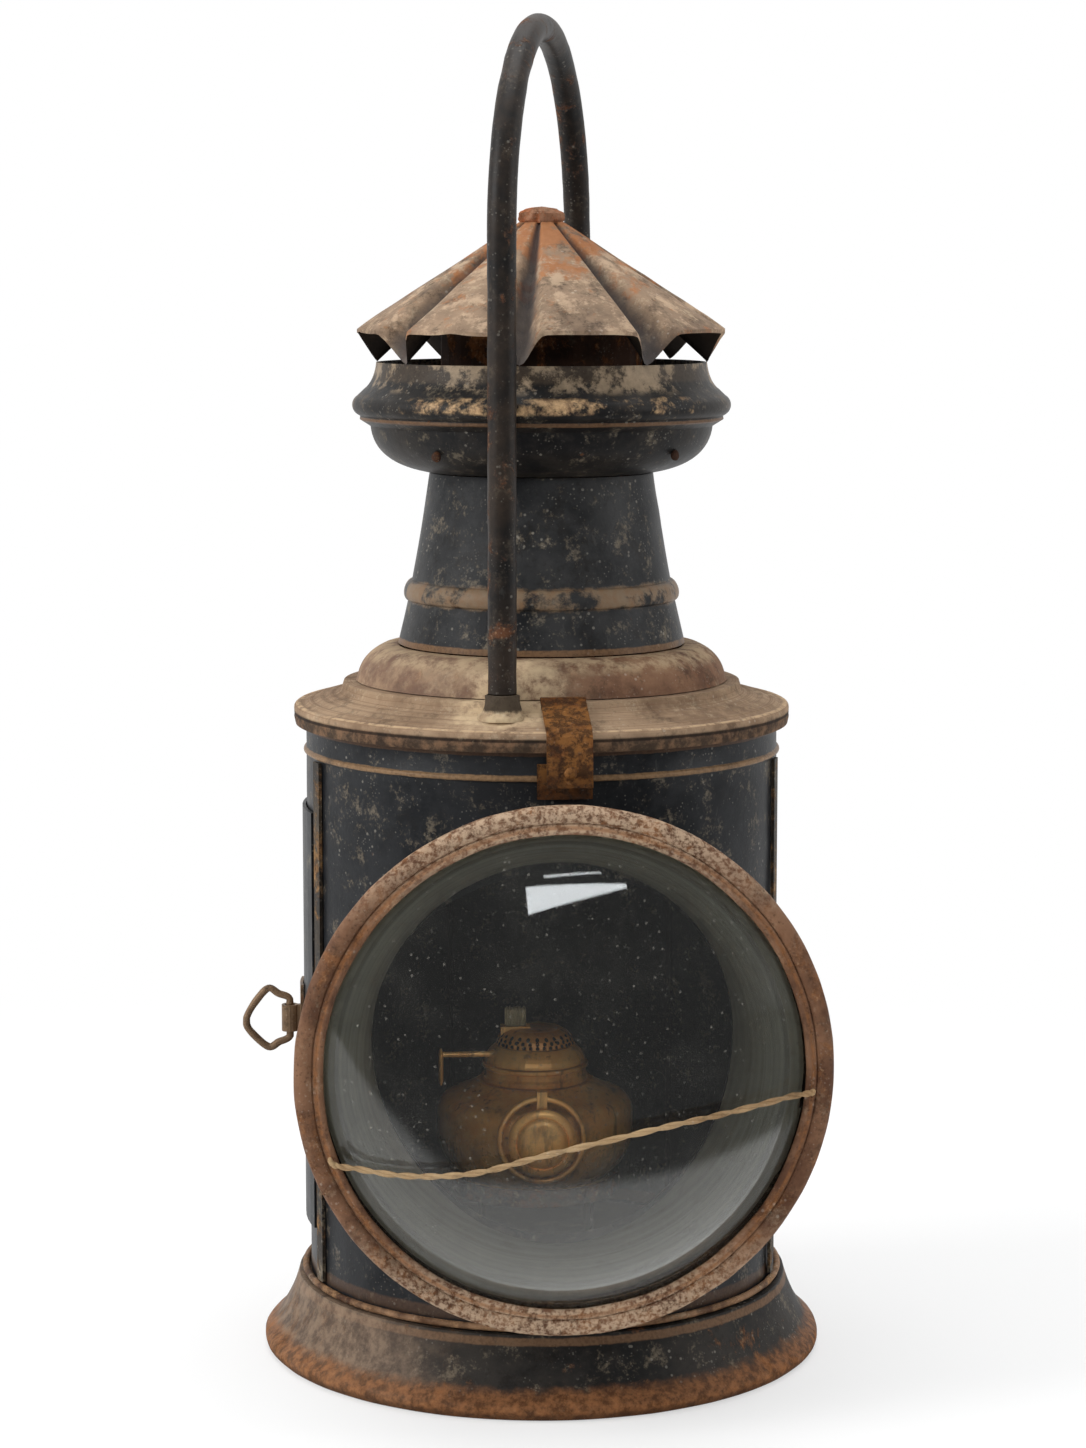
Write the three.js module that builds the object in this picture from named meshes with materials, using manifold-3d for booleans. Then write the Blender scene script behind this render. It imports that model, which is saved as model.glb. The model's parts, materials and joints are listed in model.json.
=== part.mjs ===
// A railway hand signal lantern: a round sheet-metal case with a flaring lens hood, a side door,
// an oil lamp inside and a hinged top with a tapered chimney, a cowl and a fluted roof.
// Millimetres, +Z up. The lens looks along -Y and the origin is the middle of the flat underside.
import * as THREE from 'three';
import { mergeVertices } from 'three/addons/utils/BufferGeometryUtils.js';
import Module from 'manifold-3d';

const wasm = await Module();
wasm.setup();

// Clearances
const gap = 0.3;
const running = 0.4;

// Sheet and wire thicknesses
const caseSheet = 1.0;
const topSheet = 1.0;
const bandThick = 1.0;
const wireR = 1.15;

// Base skirt
const baseR = 85;
const rimRollR = 2.8;
const skirtH = 22.4;
const skirtStep = 3.5;
const plateThick = 1.2;
const footBeadR = 1.1;

// Case
const caseR = 70.8;
const skirtTopR = caseR + skirtStep;
const caseTopZ = 190.6;
const upperBeadZ = caseTopZ - 7.6;
const upperBeadR = 0.9;
const seamWidth = 4.6;
const seamAngle = 71;
const guideThick = 2.4;
const guideLeftX = -24;
const guideRightX = 44;

// Lens hood, measured forward from the axis of the case
const lensZ = 104;
const bezelRollR = 2.7;
const bezelR = 75.5;
const bezelLap = 6.1;
const glassInset = 8.6;
const glassDome = 15;
const glassThick = 2.5;
const glassEdgeR = bezelR - bezelLap;
const mouthInset = 2;
const hoodMouthR = glassEdgeR - mouthInset;
const hoodFlare = 14.8;
const hoodThroatR = hoodMouthR - hoodFlare;
const hoodReach = 19.2;
const hoodFront = caseR + hoodReach;
const hoodSheet = 1.2;
const hoodLipR = 0.9;
const hoodShape = [[0.333, 0], [0.622, 0.0405], [0.778, 0.1757], [0.889, 0.4595], [1, 1]];

// Side door on the left
const doorStart = -75;
const doorEnd = -139;
const doorBottomZ = 40;
const doorTopZ = upperBeadZ - 17;
const doorThick = 1.0;
const doorLap = 5;
const doorHingePinR = 1.1;
const doorBarrelR = 2.4;
const doorHingeAngle = -143.5;
const doorLeafSpan = 8;

// Door ring
const ringAngle = -92;
const ringZ = 100;
const ringH = 20.5;
const ringW = 13.2;
const ringWireR = 1.2;
const clipH = 22.6;
const clipReach = 4.4;

// Top: flange, dome and chimney
const lipOverhang = 3.6;
const flangeR = caseR + lipOverhang;
const lipH = 6;
const stepInset = 16.4;
const stepR = flangeR - stepInset;
const stepRise = 12.8;
const stepZ = caseTopZ + stepRise;
const domeTopR = 43;
const domeRise = 10.9;
const domeTopZ = stepZ + domeRise;
const chimneyTopR = 33.5;
const chimneyH = 51.2;
const chimneyTopZ = domeTopZ + chimneyH;
const chimneyBeadZ = domeTopZ + 16.3;
const chimneyBeadR = 1.8;

// Cowl and roof
const cowlBeadRise = 20.1;
const cowlBeadZ = chimneyTopZ + cowlBeadRise;
const cowlBeadR = 3.2;
const cowlR = 56.5;
const cowlRimInset = 7.3;
const cowlRimR = cowlR - cowlRimInset;
const cowlRimRise = 12.6;
const cowlRimZ = cowlBeadZ + cowlRimRise;
const flueR = 30;
const flueRise = 11.8;
const flueTopZ = cowlRimZ + flueRise;
const flutes = 8;
const roofRise = 45.4;
const roofPeakZ = cowlRimZ + roofRise;
const roofHub = 0.12;
const eavesInset = 1.5;
const eavesR = cowlR - eavesInset;
const eavesRise = 10.3;
const eavesRidgeZ = cowlRimZ + eavesRise;
const roofSheet = 1.1;
const finialR = 7;
const finialH = 4.2;
const firstValley = -11.4;

// Handle
const handleRodR = 4.2;
const handleRise = 56.4;
const handleTopZ = roofPeakZ + handleRise;
const handleAngle = -14.5;
const footPatchR = 7.5;
const footPatchH = 2.2;

// Front strap and rear hinge
const strapWidth = 13;
const strapEndZ = caseTopZ - 9.2;
const strapAngle = 2;
const topHingeZ = caseTopZ - 1.1;
const topLeafH = 23;
const topHingePinR = 1.1;
const topBarrelR = 2.3;
const topHingeSpan = 15;

// Oil lamp
const lampX = -2;
const trayR = 26;
const trayZ = 47.7;
const trayRim = 4.4;
const bracketLong = 34;
const bracketWide = 22;
const bracketFoot = 11;
const fontR = 29.8;
const fontFootR = 20.8;
const fontH = 32.5;
const collarR = 16.2;
const collarH = 5.2;
const burnerR = 15.4;
const burnerTopR = 12.2;
const burnerH = 5;
const capH = 5;
const capSheet = 0.9;
const airHoleR = 0.62;
const wickWide = 6.4;
const wickThick = 2;
const wickShows = 6.2;
const wickOffset = -6;
const winderRodR = 0.9;
const winderReach = 13.5;
const winderLeverL = 11.7;
const fillerR = 10.3;
const fillerZ = 68.5;
const fillerWireR = 0.95;

const big = 32;
const mid = 26;
const small = 12;

const parts = new THREE.Group();

function rad(degrees) {
  return THREE.MathUtils.degToRad(degrees);
}

// Azimuth 0 is the front of the lantern and +90 is its right side.
function around(radius, azimuth, z) {
  return new THREE.Vector3(radius * Math.sin(rad(azimuth)), -radius * Math.cos(rad(azimuth)), z);
}

function tidy(geometry) {
  const bare = geometry.index ? geometry.toNonIndexed() : geometry.clone();
  bare.deleteAttribute('normal');
  bare.deleteAttribute('uv');
  const merged = mergeVertices(bare, 1e-4);
  const index = merged.index.array;
  const kept = [];
  for (let i = 0; i < index.length; i += 3) {
    const [a, b, c] = [index[i], index[i + 1], index[i + 2]];
    if (a !== b && b !== c && a !== c) kept.push(a, b, c);
  }
  const place = merged.attributes.position;
  const [p, q, r] = [new THREE.Vector3(), new THREE.Vector3(), new THREE.Vector3()];
  let volume = 0;
  for (let i = 0; i < kept.length; i += 3) {
    p.fromBufferAttribute(place, kept[i]);
    q.fromBufferAttribute(place, kept[i + 1]);
    r.fromBufferAttribute(place, kept[i + 2]);
    volume += p.dot(q.cross(r));
  }
  if (volume < 0) kept.reverse();
  merged.setIndex(kept);
  return merged;
}

function solid(geometry) {
  const closed = tidy(geometry);
  return new wasm.Manifold(new wasm.Mesh({
    numProp: 3,
    vertProperties: new Float32Array(closed.attributes.position.array),
    triVerts: new Uint32Array(closed.index.array),
  }));
}

function shell(body) {
  const mesh = body.getMesh();
  const geometry = new THREE.BufferGeometry();
  geometry.setAttribute('position', new THREE.BufferAttribute(new Float32Array(mesh.vertProperties), 3));
  geometry.setIndex(new THREE.BufferAttribute(new Uint32Array(mesh.triVerts), 1));
  return geometry;
}

function fuse(...geometries) {
  return shell(geometries.map(solid).reduce((whole, next) => whole.add(next)));
}

function cut(geometry, ...tools) {
  return shell(tools.map(solid).reduce((rest, tool) => rest.subtract(tool), solid(geometry)));
}

// A closed outline of [radius, height] pairs turned about +Z.
function revolve(outline, sides = big) {
  const points = outline.map(([r, z]) => new THREE.Vector2(Math.max(r, 0), z));
  const closed = points[0].x > 0 || points[points.length - 1].x > 0;
  if (closed) points.push(points[0].clone());
  return new THREE.LatheGeometry(points, sides).rotateX(Math.PI / 2);
}

// The same about the lens axis: heights run forward from the case axis.
function revolveForward(outline, sides = big) {
  return revolve(outline, sides).rotateX(Math.PI / 2).translate(0, 0, lensZ);
}

function disc(radius, low, high, sides = big) {
  return revolve([[0, low], [radius, low], [radius, high], [0, high]], sides);
}

// An upright band that follows the case between two azimuths.
function band(inner, outer, from, to, low, high, steps = 12) {
  const [start, end] = [Math.min(from, to), Math.max(from, to)];
  const outline = new THREE.Shape();
  for (let i = 0; i <= steps; i += 1) {
    const p = around(outer, start + (end - start) * i / steps, 0);
    if (i === 0) outline.moveTo(p.x, p.y);
    else outline.lineTo(p.x, p.y);
  }
  for (let i = steps; i >= 0; i -= 1) {
    const p = around(inner, start + (end - start) * i / steps, 0);
    outline.lineTo(p.x, p.y);
  }
  return new THREE.ExtrudeGeometry(outline, { depth: high - low, bevelEnabled: false }).translate(0, 0, low);
}

function arc(cx, cz, radius, from, to, steps) {
  return Array.from({ length: steps + 1 }, (_, i) => {
    const a = rad(from + (to - from) * i / steps);
    return [cx + radius * Math.cos(a), cz + radius * Math.sin(a)];
  });
}

function bend(start, pull, end, steps) {
  const curve = new THREE.QuadraticBezierCurve(
    new THREE.Vector2(...start), new THREE.Vector2(...pull), new THREE.Vector2(...end));
  return curve.getPoints(steps).map((p) => [p.x, p.y]);
}

function round(radius, sides) {
  const outline = new THREE.Shape();
  for (let i = 0; i < sides; i += 1) {
    const a = 2 * Math.PI * i / sides;
    const [x, y] = [radius * Math.cos(a), radius * Math.sin(a)];
    if (i === 0) outline.moveTo(x, y);
    else outline.lineTo(x, y);
  }
  outline.closePath();
  return outline;
}

function rodAlong(points, radius, sides, steps, tension = 0.5) {
  const path = new THREE.CatmullRomCurve3(points, false, 'catmullrom', tension);
  return new THREE.ExtrudeGeometry(round(radius, sides), { extrudePath: path, steps, bevelEnabled: false });
}

function pinAt(x, y, low, high, radius, sides = small) {
  return disc(radius, low, high, sides).translate(x, y, 0);
}

function barAlongX(radius, from, to, y, z, sides = small) {
  return disc(radius, from, to, sides).rotateY(Math.PI / 2).translate(0, y, z);
}

function box(x, y, z, wide, deep, high) {
  return new THREE.BoxGeometry(wide, deep, high).translate(x, y, z);
}

function part(name, geometry, color, roughness, metalness) {
  const material = new THREE.MeshStandardMaterial({ color, roughness, metalness });
  const ready = tidy(geometry);
  ready.computeVertexNormals();
  const mesh = new THREE.Mesh(ready, material);
  mesh.name = name;
  parts.add(mesh);
}

const paint = [0x23262a, 0.6, 0.4];
const rust = [0x7a4a2c, 0.85, 0.3];
const brass = [0x9c7f4b, 0.45, 0.8];
const roofMetal = [0x6d6456, 0.8, 0.4];

// Base: a flaring skirt on a rolled rim, closed below by a flat plate.
const rollX = baseR - rimRollR;
const skirtOuter = bend([rollX + rimRollR * Math.cos(rad(60)), rimRollR * (1 + Math.sin(rad(60)))],
  [skirtTopR + 3.3, 9.6], [skirtTopR, skirtH], 4);
const skirtInner = bend([rollX - rimRollR * Math.cos(rad(65)), rimRollR * (1 + Math.sin(rad(65)))],
  [skirtTopR + 2.1, 9.4], [skirtTopR - caseSheet, skirtH - caseSheet], 3);
const shelfR = caseR - 8;
part('base_skirt', revolve([
  ...skirtOuter,
  [shelfR, skirtH],
  [shelfR, skirtH - caseSheet],
  ...skirtInner.reverse(),
  ...arc(rollX, rimRollR, rimRollR, 115, 420, 8).slice(1, -1),
]), ...rust);
const plateR = rollX - rimRollR - gap;
part('base_plate', disc(plateR, 0, plateThick), ...rust);

// Case floor, case and the beads that stiffen it.
const floorZ = skirtH + gap;
const caseInnerR = caseR - caseSheet;
part('case_floor', disc(caseInnerR - gap, floorZ, floorZ + plateThick), ...paint);
const footBeadX = caseR + gap + footBeadR;
part('foot_bead', revolve(arc(footBeadX, floorZ + footBeadR, footBeadR, 0, 360, 6).slice(0, -1)), ...rust);

const throat = new THREE.CylinderGeometry(hoodThroatR, hoodThroatR, 2 * caseR, big)
  .translate(0, -caseR, 0).translate(0, 0, lensZ);
const doorOpening = band(caseR - 6, caseR + 6, doorStart - doorLap, doorEnd + doorLap,
  doorBottomZ + doorLap, doorTopZ - doorLap);
const caseBlank = revolve([
  [caseInnerR, floorZ],
  [caseR, floorZ],
  [caseR, upperBeadZ - upperBeadR],
  ...arc(caseR, upperBeadZ, upperBeadR, -60, 60, 4),
  [caseR, upperBeadZ + upperBeadR],
  [caseR, caseTopZ],
  [caseInnerR, caseTopZ],
], big);
part('case_shell', cut(caseBlank, throat, doorOpening), ...paint);

for (const [side, name] of [[-1, 'left'], [1, 'right']]) {
  const half = THREE.MathUtils.radToDeg(seamWidth / 2 / caseR);
  part(`${name}_seam_strip`, band(caseR + gap, caseR + gap + bandThick, side * seamAngle - half,
    side * seamAngle + half, floorZ + 2 * footBeadR + gap, upperBeadZ - upperBeadR - gap, 2), ...paint);
}

// The two upright guide strips inside the back of the case.
const guideR = caseInnerR * Math.cos(Math.PI / big) - gap;
for (const [x, name] of [[guideLeftX, 'left'], [guideRightX, 'right']]) {
  const azimuth = 180 - THREE.MathUtils.radToDeg(Math.asin(x / caseInnerR));
  part(`${name}_inner_guide`, band(guideR - guideThick, guideR, azimuth - 1.5, azimuth + 1.5,
    floorZ + plateThick + gap, upperBeadZ, 2), ...paint);
}

// Lens hood: it leaves the case along the cylinder and flares like a bell to the lens.
const caseCylinder = disc(caseR + gap, 0, caseTopZ + 20, big);
const hoodKnots = hoodShape.map(([share, flare]) => (
  new THREE.Vector2(hoodThroatR + hoodFlare * flare, hoodFront * share)));
const hoodInner = new THREE.SplineCurve(hoodKnots).getPoints(5).map((p) => [p.x, p.y]);
const hoodOuter = hoodInner.map(([r, s]) => [r + hoodSheet, s]).reverse();
const hoodLipX = hoodMouthR + hoodSheet;
const hoodLip = revolveForward(arc(hoodLipX, hoodFront - hoodLipR, hoodLipR, 0, 360, 6).slice(0, -1));
part('lens_hood', cut(fuse(revolveForward([...hoodInner, ...hoodOuter]), hoodLip), caseCylinder), ...paint);

// Domed glass, clamped between the hood and the bezel.
const domeBase = bezelR - glassInset;
const domeCurve = (domeBase ** 2 + glassDome ** 2) / (2 * glassDome);
const glassRear = hoodFront + gap + 0.2;
function domeDrop(radius) {
  return domeCurve - Math.sqrt(domeCurve ** 2 - radius ** 2);
}
const glassFront = glassRear + glassThick + domeDrop(glassEdgeR);
const glassRings = Array.from({ length: 6 }, (_, i) => glassEdgeR * i / 5);
part('lens_glass', revolveForward([
  ...glassRings.map((r) => [r, glassFront - glassThick - domeDrop(r)]),
  ...glassRings.map((r) => [r, glassFront - domeDrop(r)]).reverse(),
]), 0xbfc8c6, 0.1, 0);

// Bezel: an outer roll, a web and a thin inner bead, with a sleeve over the hood's lip.
const beadX = domeBase + 1.5;
const beadThin = 1.1;
const beadS = glassFront - domeDrop(beadX - beadThin) + gap + beadThin;
const rollR = bezelR - bezelRollR;
const rollS = beadS - 1.4;
const sleeveR = glassEdgeR + gap;
part('lens_bezel', fuse(
  revolveForward(arc(rollR, rollS, bezelRollR, 0, 360, 8).slice(0, -1)),
  revolveForward(arc(beadX, beadS, beadThin, 0, 360, 6).slice(0, -1)),
  revolveForward([[beadX, beadS - 0.5], [rollR - 1, beadS - 0.5],
    [rollR - 1, beadS + 0.6], [beadX, beadS + 0.6]]),
  revolveForward([[sleeveR, hoodFront - 2.4], [sleeveR + 1.1, hoodFront - 2.4],
    [sleeveR + 1.1, rollS], [sleeveR, rollS]]),
), ...rust);

// The wire that is stretched over the glass, hooked into the bezel's groove at both ends.
const wireEnds = beadS + 0.6 + gap + wireR;
const wireRoute = [[-0.9452, -0.3256], [-0.8991, -0.3545], [-0.6484, -0.3804], [-0.3746, -0.3573],
  [-0.0720, -0.2738], [0.3170, -0.1902], [0.6340, -0.1398], [0.9438, -0.0922], [0.9971, -0.0807]]
  .map(([x, z]) => [x * glassEdgeR, z * glassEdgeR]);
const wirePoints = wireRoute.map(([x, z], i) => {
  const radius = Math.hypot(x, z);
  const last = i === 0 || i === wireRoute.length - 1;
  const overGlass = glassFront - domeDrop(Math.min(radius, glassEdgeR)) + wireR + gap + 0.3;
  const overBead = beadS + beadThin + wireR + gap;
  const s = last ? wireEnds : Math.max(overGlass, radius > beadX - 6 ? overBead : 0);
  return new THREE.Vector3(x, -s, lensZ + z);
});
part('retaining_wire', rodAlong(wirePoints, wireR, 6, 32), 0xa08460, 0.7, 0.5);

// Side door, its ring and its upright hinge.
const doorIn = caseR + gap;
const doorOut = doorIn + doorThick;
const hingeAt = doorOut + doorBarrelR + 0.5;
const doorPin = around(hingeAt, doorHingeAngle, 0);
const doorMidZ = (doorBottomZ + doorTopZ) / 2;
const knuckle = (doorTopZ - doorBottomZ) / 5;
function doorBarrel(low, high) {
  return pinAt(doorPin.x, doorPin.y, low, high, doorBarrelR);
}
function doorTongue(from, low, high) {
  const edge = around(doorOut - 0.5, from, 0);
  const tongue = new THREE.BoxGeometry(edge.distanceTo(doorPin) + 1.2, 1, high - low);
  const facing = Math.atan2(doorPin.y - edge.y, doorPin.x - edge.x);
  return tongue.rotateZ(facing)
    .translate((edge.x + doorPin.x) / 2, (edge.y + doorPin.y) / 2, (low + high) / 2);
}
const doorPinBore = pinAt(doorPin.x, doorPin.y, doorBottomZ - 5, doorTopZ + 5, doorHingePinR + running);
const doorKnuckle = [doorMidZ - 1.5 * knuckle + gap, doorMidZ + 1.5 * knuckle - gap];
const doorPlate = band(doorIn, doorOut, doorStart, doorEnd, doorBottomZ, doorTopZ, 16);
part('side_door', cut(fuse(doorPlate, doorTongue(doorEnd + 0.4, ...doorKnuckle), doorBarrel(...doorKnuckle)),
  doorPinBore), ...paint);
const leafFrom = doorHingeAngle - 2.6;
const leafPlate = band(doorIn, doorOut, leafFrom, leafFrom - doorLeafSpan, doorBottomZ, doorTopZ, 3);
const [lowKnuckle, highKnuckle] = [[doorBottomZ, doorKnuckle[0] - gap], [doorKnuckle[1] + gap, doorTopZ]];
part('door_hinge_leaf', cut(fuse(leafPlate,
  doorTongue(leafFrom - 0.4, ...lowKnuckle), doorBarrel(...lowKnuckle),
  doorTongue(leafFrom - 0.4, ...highKnuckle), doorBarrel(...highKnuckle)), doorPinBore), ...paint);
part('door_hinge_pin', fuse(pinAt(doorPin.x, doorPin.y, doorBottomZ, doorTopZ + gap + 0.8, doorHingePinR),
  pinAt(doorPin.x, doorPin.y, doorTopZ + gap, doorTopZ + gap + 1.4, doorBarrelR - 0.4)), ...rust);

const ringPivot = around(doorOut + clipReach, ringAngle, 0);
const legZ = ringH / 2 - ringWireR - 3.4;
const clipBore = pinAt(ringPivot.x, ringPivot.y, ringZ - clipH, ringZ + clipH, ringWireR + running, 16);
const clipFoot = doorOut + gap;
const barrelHalf = legZ - 1.6;
const clipWeb = box(0, 0, 0, clipReach, 2, 2 * barrelHalf).rotateZ(rad(ringAngle - 90))
  .translate(...around(clipFoot + clipReach / 2 - 0.2, ringAngle, ringZ).toArray());
part('ring_clip', cut(fuse(
  band(clipFoot, clipFoot + 0.9, ringAngle - 5.5, ringAngle + 5.5, ringZ - clipH / 2, ringZ + clipH / 2, 4),
  clipWeb,
  pinAt(ringPivot.x, ringPivot.y, ringZ - barrelHalf, ringZ + barrelHalf, ringWireR + running + 0.9, 16),
), clipBore), ...brass);

// A closed tube round a flat loop of [out, up] pairs.
function loopTube(corners, radius, sides, steps) {
  const loop = new THREE.CatmullRomCurve3(corners, true, 'catmullrom', 0.35);
  const frames = loop.computeFrenetFrames(steps, true);
  const vertices = [];
  const faces = [];
  for (let i = 0; i < steps; i += 1) {
    const centre = loop.getPointAt(i / steps);
    for (let j = 0; j < sides; j += 1) {
      const a = 2 * Math.PI * j / sides;
      const p = centre.clone().addScaledVector(frames.normals[i], radius * Math.cos(a))
        .addScaledVector(frames.binormals[i], radius * Math.sin(a));
      vertices.push(p.x, p.y, p.z);
      const [k, m] = [((i + 1) % steps) * sides, (j + 1) % sides];
      faces.push(i * sides + j, k + j, k + m, i * sides + j, k + m, i * sides + m);
    }
  }
  const geometry = new THREE.BufferGeometry();
  geometry.setAttribute('position', new THREE.BufferAttribute(new Float32Array(vertices), 3));
  geometry.setIndex(faces);
  return geometry;
}

const ringHalf = ringH / 2 - ringWireR;
const ringCorners = [[0, -legZ], [0, 0], [0, legZ],
  [ringW * 0.26, ringHalf * 0.82], [ringW * 0.49, ringHalf],
  [ringW * 0.76, ringHalf * 0.6], [ringW * 0.97, ringHalf * 0.1], [ringW, -ringHalf * 0.22],
  [ringW * 0.86, -ringHalf * 0.55], [ringW * 0.5, -ringHalf], [ringW * 0.26, -ringHalf * 0.84]]
  .map(([out, up]) => around(doorOut + clipReach + out, ringAngle, ringZ + up));
part('door_ring', loopTube(ringCorners, ringWireR, 6, 32), ...brass);

// Oil lamp: a tray on a bracket, the font, its filler, the collar, the burner and the wick.
const innerFloorZ = floorZ + plateThick + gap;
const trayLow = trayZ - bandThick;
const bracketHigh = trayLow - gap;
const legX = bracketLong / 2 - bandThick / 2;
const footX = bracketLong / 2 - 0.5 + bracketFoot / 2;
part('tray_bracket', fuse(
  box(lampX, 0, bracketHigh - bandThick / 2, bracketLong, bracketWide, bandThick),
  box(lampX - legX, 0, (innerFloorZ + bracketHigh) / 2, bandThick, bracketWide, bracketHigh - innerFloorZ),
  box(lampX + legX, 0, (innerFloorZ + bracketHigh) / 2, bandThick, bracketWide, bracketHigh - innerFloorZ),
  box(lampX - footX, 0, innerFloorZ + bandThick / 2, bracketFoot, bracketWide, bandThick),
  box(lampX + footX, 0, innerFloorZ + bandThick / 2, bracketFoot, bracketWide, bandThick),
), ...paint);
part('lamp_tray', revolve([[0, trayLow], [trayR, trayLow], [trayR, trayZ + trayRim],
  [trayR - bandThick, trayZ + trayRim], [trayR - bandThick, trayZ], [0, trayZ]], 28)
  .translate(lampX, 0, 0), ...rust);

const fontFoot = trayZ + gap;
const fontTop = fontFoot + fontH;
const fontBody = revolve([[0, fontFoot], [fontFootR, fontFoot], [fontFootR + 1.4, fontFoot + 1],
  ...bend([fontFootR + 1.8, fontFoot + 3.6], [fontR - 1, fontFoot + 8.4], [fontR, fontFoot + 16], 4),
  [fontR, fontTop - 9.6], [fontR - 0.8, fontTop - 6.6], [fontR - 3.6, fontTop - 4.4],
  [collarR + 1.6, fontTop],
  [0, fontTop]], mid).translate(lampX, 0, 0);
const neckFront = fontR + 1.6;
function towardFront(radius, from, to, sides = small) {
  return disc(radius, from, to, sides).rotateX(Math.PI / 2).translate(lampX, 0, fillerZ);
}

// The ring that lifts the font hangs from an ear on top of the filler's neck.
const fillerRingR = fillerR + 1.3 + fillerWireR;
const lugZ = fillerZ + fillerRingR;
const lugFront = neckFront - 2;
const earHalf = fillerWireR + running + 0.65;
const ear = box(lampX, -lugFront, lugZ - 1.2, 3, 2 * earHalf, 2 * earHalf + 3.2);
function fillerHoop(radius, sides) {
  return new THREE.TorusGeometry(fillerRingR, radius, sides, 24).rotateX(Math.PI / 2)
    .translate(lampX, -lugFront, fillerZ);
}
part('font', cut(fuse(fontBody, towardFront(fillerR - 1.6, fontR - 8, neckFront), ear),
  fillerHoop(fillerWireR + running, 8)), ...brass);
part('font_ring', fillerHoop(fillerWireR, 6), ...brass);
const capBack = neckFront + gap;
part('filler_cap', revolve([[0, capBack], [fillerR - 0.6, capBack], [fillerR, capBack + 0.6],
  [fillerR, capBack + 1.8], [fillerR - 1.4, capBack + 2.6], [fillerR - 4, capBack + 3.5],
  [0, capBack + 4]], small)
  .rotateX(Math.PI / 2).translate(lampX, 0, fillerZ), ...brass);

const collarLow = fontTop + gap;
const collarTop = collarLow + collarH;
part('burner_collar', revolve([[collarR - 4.6, collarLow], [collarR, collarLow], [collarR, collarLow + 1.4],
  [collarR - 0.7, collarLow + 2], [collarR - 0.7, collarTop - 1.6], [collarR, collarTop - 1],
  [collarR, collarTop], [collarR - 4.6, collarTop]], 24).translate(lampX, 0, 0), ...brass);
const burnerLow = collarTop + gap;
const burnerTop = burnerLow + burnerH;
const tubeX = lampX + wickOffset;
const tubeWide = wickWide + 2 * (running + capSheet);
const tubeDeep = wickThick + 2 * (running + capSheet);
const winderZ = burnerLow + burnerH - 2.2;
const winderY = -tubeDeep / 2 - running - winderRodR;
const winderBore = barAlongX(winderRodR + running, -burnerR - 5, 0, winderY, winderZ, 16)
  .translate(lampX, 0, 0);
part('burner_body', cut(revolve([[burnerR - 1.2, burnerLow], [burnerR, burnerLow],
  ...bend([burnerR, burnerLow + 0.8], [burnerR - 0.4, burnerTop - 2], [burnerTopR, burnerTop], 4),
  [burnerTopR - capSheet, burnerTop], ...bend([burnerTopR - capSheet, burnerTop - 0.4],
    [burnerR - 1.6, burnerTop - 2.4], [burnerR - 1.2, burnerLow + 0.8], 3)], 24).translate(lampX, 0, 0),
winderBore), ...brass);

// Cap with three rows of air holes and a slot for the wick.
const capLow = burnerTop + gap;
const capOuter = bend([burnerTopR, capLow], [burnerTopR - 1.2, capLow + capH], [5.4, capLow + capH], 4);
const capInner = bend([burnerTopR - capSheet, capLow],
  [burnerTopR - capSheet - 1.2, capLow + capH - capSheet],
  [5, capLow + capH - capSheet], 4).reverse();
const capShape = revolve([...capOuter, [0, capLow + capH], [0, capLow + capH - capSheet], ...capInner], 24);
const holes = [];
for (const [share, count, shift] of [[0.12, 18, 0], [0.36, 16, 0.5], [0.6, 12, 0]]) {
  const at = capLow + capH * share * 0.98;
  const radius = burnerTopR - 4.4 * share ** 2.4;
  for (let i = 0; i < count; i += 1) {
    const hole = new THREE.CylinderGeometry(airHoleR, airHoleR, 7, 6).rotateX(Math.PI / 2)
      .translate(0, -radius, at).rotateZ(2 * Math.PI * (i + shift) / count);
    holes.push(hole);
  }
}
const wickSlot = box(wickOffset, 0, capLow + capH, tubeWide + 2 * gap, tubeDeep + 2 * gap, 12);
part('burner_cap', cut(capShape, ...holes, wickSlot).translate(lampX, 0, 0), ...brass);

// The wick runs in a flat tube. A winder rod beside it raises and lowers it.
const tubeLow = fontTop + gap;
const tubeHigh = capLow + capH + 0.4;
part('wick_tube', cut(box(tubeX, 0, (tubeLow + tubeHigh) / 2, tubeWide, tubeDeep, tubeHigh - tubeLow),
  box(tubeX, 0, (tubeLow + tubeHigh) / 2, wickWide + 2 * running, wickThick + 2 * running,
    tubeHigh - tubeLow + 2)), ...brass);
const wickTop = tubeHigh + wickShows;
const wickLow = tubeLow + 5;
const wickOutline = new THREE.Shape([[-0.5, 0], [0.5, 0], [0.5, 0.86], [0.32, 0.92], [0.2, 1], [-0.02, 0.97],
  [-0.3, 1], [-0.42, 0.93], [-0.5, 0.9]]
  .map(([x, z]) => new THREE.Vector2(x * wickWide, z * (wickTop - wickLow))));
part('wick', new THREE.ExtrudeGeometry(wickOutline, { depth: wickThick, bevelEnabled: false })
  .rotateX(Math.PI / 2).translate(tubeX, wickThick / 2, wickLow), 0xc9b48c, 0.95, 0);
const leverX = lampX - burnerR - winderReach;
const lever = new THREE.CapsuleGeometry(2.3, winderLeverL - 4.6, 4, 12).scale(0.34, 1, 1)
  .rotateX(Math.PI / 2)
  .translate(leverX, winderY, winderZ - winderLeverL / 2 + 2);
const winderRod = barAlongX(winderRodR, leverX, lampX - burnerR + 8, winderY, winderZ, 12);
part('wick_winder', fuse(winderRod, lever), ...brass);

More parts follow.
